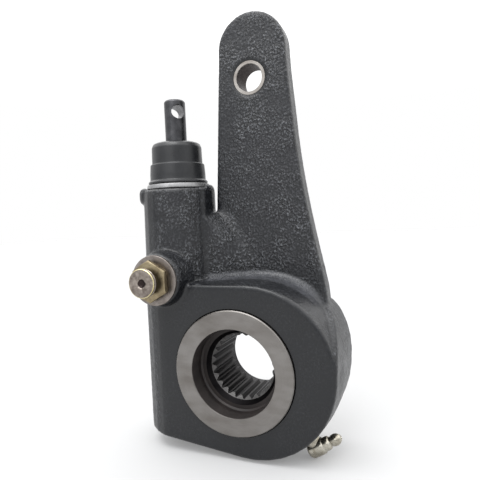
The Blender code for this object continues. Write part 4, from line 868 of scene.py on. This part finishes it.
def make_plug(plug_material, washer_material):
    """The pawl's hexagon plug, bored for pawl and stem, and the washer under it."""
    low, high = box("pawl_plug")
    washer_low, washer_high = box("pawl_washer")
    seat = washer_low.y - 0.3 * MM
    hex_back = low.y + 2.8 * MM
    centre = (WORM_X, 0, PAWL_Z)
    plug = hexagon_head(20.6 * MM, low.y, hex_back, 0.8 * MM)
    plug.location = centre
    shank = [
        (0, hex_back - 1 * MM), (9.3 * MM, hex_back - 1 * MM), (9.3 * MM, seat), (8.4 * MM, seat),
        (8.4 * MM, high.y - 0.6 * MM), (7.8 * MM, high.y), (0, high.y),
    ]
    cut(plug, turned(shank, 64, Y_AXIS), "UNION")
    bore = [
        (0, low.y - 1 * MM), (4.4 * MM, low.y - 1 * MM), (3.4 * MM, low.y + 0.5 * MM),
        (3.4 * MM, low.y + 3.8 * MM), (6.8 * MM, low.y + 3.8 * MM), (6.8 * MM, high.y + 1 * MM),
        (0, high.y + 1 * MM),
    ]
    cut(plug, turned(bore, 64, Y_AXIS))
    bevel = plug.modifiers.new("eased_edges", "BEVEL")
    bevel.width = 0.18 * MM
    bevel.segments = 2
    bevel.limit_method = "ANGLE"
    bevel.angle_limit = radians(38)
    evaluated(plug)
    plug.data.shade_smooth()
    plug.data.set_sharp_from_angle(angle=radians(30))
    plug.data.materials.clear()
    plug.data.materials.append(plug_material)
    place(plug, "housing", "yellow_zinc", "pawl_plug")
    ring = softened(
        [(8.7 * MM, washer_high.y), (8.7 * MM, washer_low.y), (14.1 * MM, washer_low.y),
         (14.1 * MM, washer_high.y)],
        0.35 * MM,
    )
    washer = make_object("seal_washer", turned(ring, 112, Y_AXIS), washer_material, centre)
    place(washer, "housing", "washer_steel", "pawl_washer")


def make_button(material, rim_highlight_material, hollow_shade_material):
    """The pull button: chamfered rim, groove behind it and a peened dimple in its face.

    Its rim is painted straw bright as a highlight, and the dimple's centre dark brown as shade.
    """
    low, high = box("pull_button")
    radius = 8.0 * MM
    face = low.y + 0.35 * MM
    back = high.y
    profile = softened(
        [(0, face), (radius - 0.4 * MM, face), (radius, face + 0.35 * MM),
         (radius, face + 1.2 * MM), (radius - 0.5 * MM, face + 1.5 * MM),
         (radius - 0.5 * MM, back - 1.2 * MM), (radius, back - 0.9 * MM), (radius, back - 0.3 * MM),
         (radius - 0.5 * MM, back), (3.4 * MM, back), (3.4 * MM, back - 1.0 * MM),
         (0, back - 1.0 * MM)],
        0.2 * MM,
    )
    button = make_object("pull_button_face", turned(profile, 112, Y_AXIS), material,
                         (WORM_X, 0, PAWL_Z))
    bm = bmesh.new()
    bm.from_mesh(button.data)
    front = [f for f in bm.faces if f.normal.y < -0.99]
    mesh_size = 0.55 * MM
    for _ in range(5):
        edges = list({e for f in front for e in f.edges if e.calc_length() > mesh_size})
        if not edges:
            break
        bmesh.ops.subdivide_edges(bm, edges=edges, cuts=1, use_grid_fill=True)
        front = [f for f in bm.faces if f.normal.y < -0.99]
    for vert in bm.verts:
        if vert.co.y > face + 0.05 * MM:
            continue
        r = sqrt(vert.co.x**2 + vert.co.z**2)
        angle = np.arctan2(vert.co.z, vert.co.x)
        blows = cos(5 * angle + 0.6)
        uneven = 2.7 + 0.15 * blows + 0.12 * cos(3 * angle) + 0.1 * cos(8 * angle)
        dimple = uneven * MM
        bowl = 1 / (1 + (r / (0.78 * dimple)) ** 6)
        lip = np.exp(-(((r - 1.15 * dimple) / (0.55 * MM)) ** 2)) * (0.6 + 0.4 * blows)
        vert.co.y += 1.3 * MM * bowl - 0.4 * MM * lip
    bm.to_mesh(button.data)
    bm.free()
    button.data.materials.append(rim_highlight_material)
    button.data.materials.append(hollow_shade_material)
    for polygon in button.data.polygons:
        centre = polygon.center
        r = sqrt(centre.x**2 + centre.z**2)
        # painted highlight: the chamfered rim is coloured bright straw
        if r > radius - 0.45 * MM and centre.y < face + 0.6 * MM:
            polygon.material_index = 1
        # painted shade: the dimple's centre is coloured dark brown where shade falls in it
        elif r < 2.1 * MM and face + 0.4 * MM < centre.y < face + 1.5 * MM:
            polygon.material_index = 2
    place(button, "pawl", "button_steel", "pull_button")


def make_spring(material):
    """The pawl's coil spring as a rigid copy; the real one shortens as the button is pulled."""
    spring = bpy.data.objects.new("return_spring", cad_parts["pawl_spring"].data.copy())
    bpy.context.scene.collection.objects.link(spring)
    spring.data.materials.clear()
    spring.data.materials.append(material)
    spring.data.shade_smooth()
    place(spring, "housing", "ring_steel", "pawl_spring")
    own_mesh(spring)


def make_fitting(material):
    """The elbow grease nipple: body, neck and ball head with its greasing hole."""
    stem_angle, head_angle = radians(-52.7), radians(30)
    outward = Vector((cos(stem_angle), 0, sin(stem_angle)))
    foot = Vector((BODY_X, -8.0 * MM, BODY_Z)) + outward * 48.9 * MM
    elbow = foot + outward * 5.6 * MM
    head_way = Vector((cos(head_angle), 0, sin(head_angle)))
    profile = [
        (0, -5.5), (1.8, -5.45), (3.6, -4.9), (4.5, -3.7), (4.6, -2.5), (4.6, 2.5), (4.4, 3.6),
        (4.0, 4.3), (3.75, 4.5), (3.7, 4.9), (3.75, 5.3), (3.7, 7.0), (3.4, 7.7), (2.8, 8.2),
        (2.5, 8.6), (2.6, 9.1), (2.9, 9.6), (3.15, 10.4), (3.2, 11.2), (3.2, 12.1), (2.8, 13.2),
        (2.1, 14.2), (1.4, 14.9), (0.9, 15.05), (0.7, 14.4), (0, 14.3),
    ]
    shape = softened([(r * MM, z * MM) for r, z in profile], 0.25 * MM, 2)
    fitting = make_object("nipple_head", turned(shape, 72, head_way), material, elbow)
    collar = [
        (0, -10 * MM), (2.9 * MM, -10 * MM), (2.9 * MM, 0.2 * MM), (4.1 * MM, 0.4 * MM),
        (4.3 * MM, 1.2 * MM), (4.0 * MM, 3.4 * MM), (3.6 * MM, 5.6 * MM), (0, 5.6 * MM),
    ]
    stem = turned(softened(collar, 0.4 * MM, 2), 64, outward)
    stem.transform(Matrix.Translation(foot - elbow))
    cut(fitting, stem, "UNION")
    fitting.data.materials.clear()
    fitting.data.materials.append(material)
    place(fitting, "housing", "fitting_plate", "grease_fitting")


# Stage


def make_camera():
    """The photograph's view."""
    right, up = Vector(CAMERA_RIGHT), Vector(CAMERA_UP)
    back = right.cross(up).normalized()
    up = back.cross(right).normalized()
    data = bpy.data.cameras.new("camera")
    data.lens = CAMERA_LENS
    data.sensor_width = 36
    data.shift_x, data.shift_y = CAMERA_SHIFT
    data.clip_start = 0.01
    camera = bpy.data.objects.new("camera", data)
    camera.matrix_world = Matrix.Translation(CAMERA_PLACE) @ Matrix(
        (right.normalized(), up, back)
    ).transposed().to_4x4()
    bpy.context.scene.collection.objects.link(camera)
    bpy.context.scene.camera = camera


def add_light(name, place_at, size, power):
    """A white soft box aimed at the part's middle."""
    aim = Vector((0, 0, 0.07)) - Vector(place_at)
    data = bpy.data.lights.new(name, "AREA")
    data.shape = "RECTANGLE"
    data.size, data.size_y = size
    data.energy = power
    light = bpy.data.objects.new(name, data)
    light.location = place_at
    light.rotation_euler = aim.to_track_quat("-Z", "Y").to_euler()
    bpy.context.scene.collection.objects.link(light)


def make_stage():
    """A pale floor, and a white tent that is a little greyer in front and brighter overhead."""
    bm = bmesh.new()
    bmesh.ops.create_grid(bm, x_segments=1, y_segments=1, size=3.0)
    material, _, shader = new_material("pale_floor", "a4a4a4", 0.9, 0.0)
    shader.inputs["Emission Color"].default_value = linear("ffffff")
    shader.inputs["Emission Strength"].default_value = 0.2
    floor = make_object("floor", bm, material, (0, 0, FLOOR_Z - 0.2 * MM))
    world = bpy.data.worlds.new("studio")
    bpy.context.scene.world = world
    world.use_nodes = True
    tree = world.node_tree
    direction = add_node(tree, "ShaderNodeTexCoord").outputs["Generated"]
    parts = add_node(tree, "ShaderNodeSeparateXYZ", links={"Vector": direction})
    rearward = spread(tree, parts.outputs["Y"], 0, 1, -0.75, 0.35)
    background = tree.nodes["Background"]
    shade = ramp(tree, rearward, [(0.0, "e2e4e7"), (1.0, "ffffff")])
    tree.links.new(shade, background.inputs["Color"])
    ceiling = spread(tree, parts.outputs["Z"], 1.0, 2.6, 0.22, 0.75)
    tree.links.new(ceiling, background.inputs["Strength"])
    add_light("front", (-0.1, -0.9, 0.5), (0.6, 0.5), 1.0)
    add_light("overhead", (-0.1, -0.4, 0.95), (0.7, 0.45), 5)


def finish_inner_nodes(steel, dark, rubber, spring, plated):
    """Finishes for the CAD pieces that stay as they are."""
    finishes = {
        "gear_seal_front": rubber,
        "gear_seal_rear": rubber,
        "worm_seal": rubber,
        "gear_thrust_washer": steel,
        "gear_cover": plated,
        "gear_retaining_ring": spring,
        "worm": dark,
        "worm_thrust_washer": steel,
        "worm_retaining_ring": spring,
        "actuator": dark,
        "piston_retaining_ring": spring,
        "actuator_piston": steel,
        "piston_pin": steel,
        "pawl": steel,
    }
    for node, material in finishes.items():
        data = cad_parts[node].data
        data.materials.clear()
        data.materials.append(material)


def main():
    iron = painted_cast_iron()
    # The wheel: a bare grey ring with fine turned lines, dark oily teeth with paler ends, and a
    # recess gone brown-black
    wheel_face = turned_steel("turned_steel", "7d7976", "74706c", "898683", 0.46)
    wheel_bore = turned_steel("oiled_steel", "1e1d1e", "191819", "262425", 0.45)
    wheel_recess = turned_steel("oxide_steel", "2b2625", "252120", "332d2b", 0.5, metallic=0.3)
    tooth_end = turned_steel("tooth_end_steel", "6a6867", "5c5a59", "767473", 0.5, metallic=0.5)
    # The clevis bush: warm pale grey at its end, brown and oily inside
    bush_steel = turned_steel("ground_bush_steel", "9c9792", "8c8680", "a8a49f", 0.5, 0.6 * MM)
    # the same brown is painted shade in the pull button's dimple
    bore_oil_and_hollow_shade = plated_steel("oiled_bore_and_hollow_shade", "302a29", "282221", "403836", 0.5, 4 * MM)
    # Washer and inner steel pieces: satin grey
    steel = plated_steel("zinc_plate", "857e79", "756e69", "958e89", 0.42)
    # The rod: blackened, with soft blotches, and worn to grey in its cross hole
    dark = plated_steel("black_oxide", "49494b", "3c3c3e", "555557", 0.34)
    worn_hole = plated_steel("worn_link_hole", "77777a", "626264", "8c8c8e", 0.4)
    # The boot's ring and the rear cover: pale matt plate. Springs and snap rings: darker, glossier
    pale = plated_steel("pale_zinc_plate", "969696", "8c8c8c", "a2a2a2", 0.5)
    spring = plated_steel("spring_steel", "55555a", "47474c", "626267", 0.33)
    # The plug: dull yellow with olive patches
    yellow = plated_steel("yellow_zinc_plate", "8d8168", "796d57", "a19478", 0.36, 4 * MM)
    # The button: mottled brown-grey face, and a painted straw highlight on its chamfered rim
    button_steel = plated_steel("worn_zinc_plate", "8a8078", "6e655e", "9e958d", 0.4, 2.2 * MM)
    button_rim_highlight = plated_steel("bright_rim", "c9bd92", "bfb184", "d6cca6", 0.28, 3 * MM)
    # The grease nipple: bright, slightly warm plate
    nickel = plated_steel("nickel_plate", "aba699", "948e80", "c2beb2", 0.24, 4 * MM)
    # Boot and seals: black, the boot with a soft sheen
    boot_rubber = moulded_rubber("moulded_rubber", "191a1c", "141517", "1f2022", 0.3)
    seal_rubber = moulded_rubber("seal_rubber", "18181a", "141416", "1e1e20", 0.5)
    make_casting(iron)
    make_bush(bush_steel, bore_oil_and_hollow_shade)
    make_wheel(wheel_face, wheel_bore, wheel_recess, tooth_end)
    make_wheel_teeth(wheel_face)
    make_boot(boot_rubber, pale)
    make_rod(dark, worn_hole)
    make_plug(yellow, steel)
    make_button(button_steel, button_rim_highlight, bore_oil_and_hollow_shade)
    make_spring(spring)
    make_fitting(nickel)
    finish_inner_nodes(steel, dark, seal_rubber, spring, pale)
    make_camera()
    make_stage()
    bpy.context.scene.view_settings.view_transform = "Standard"


main()
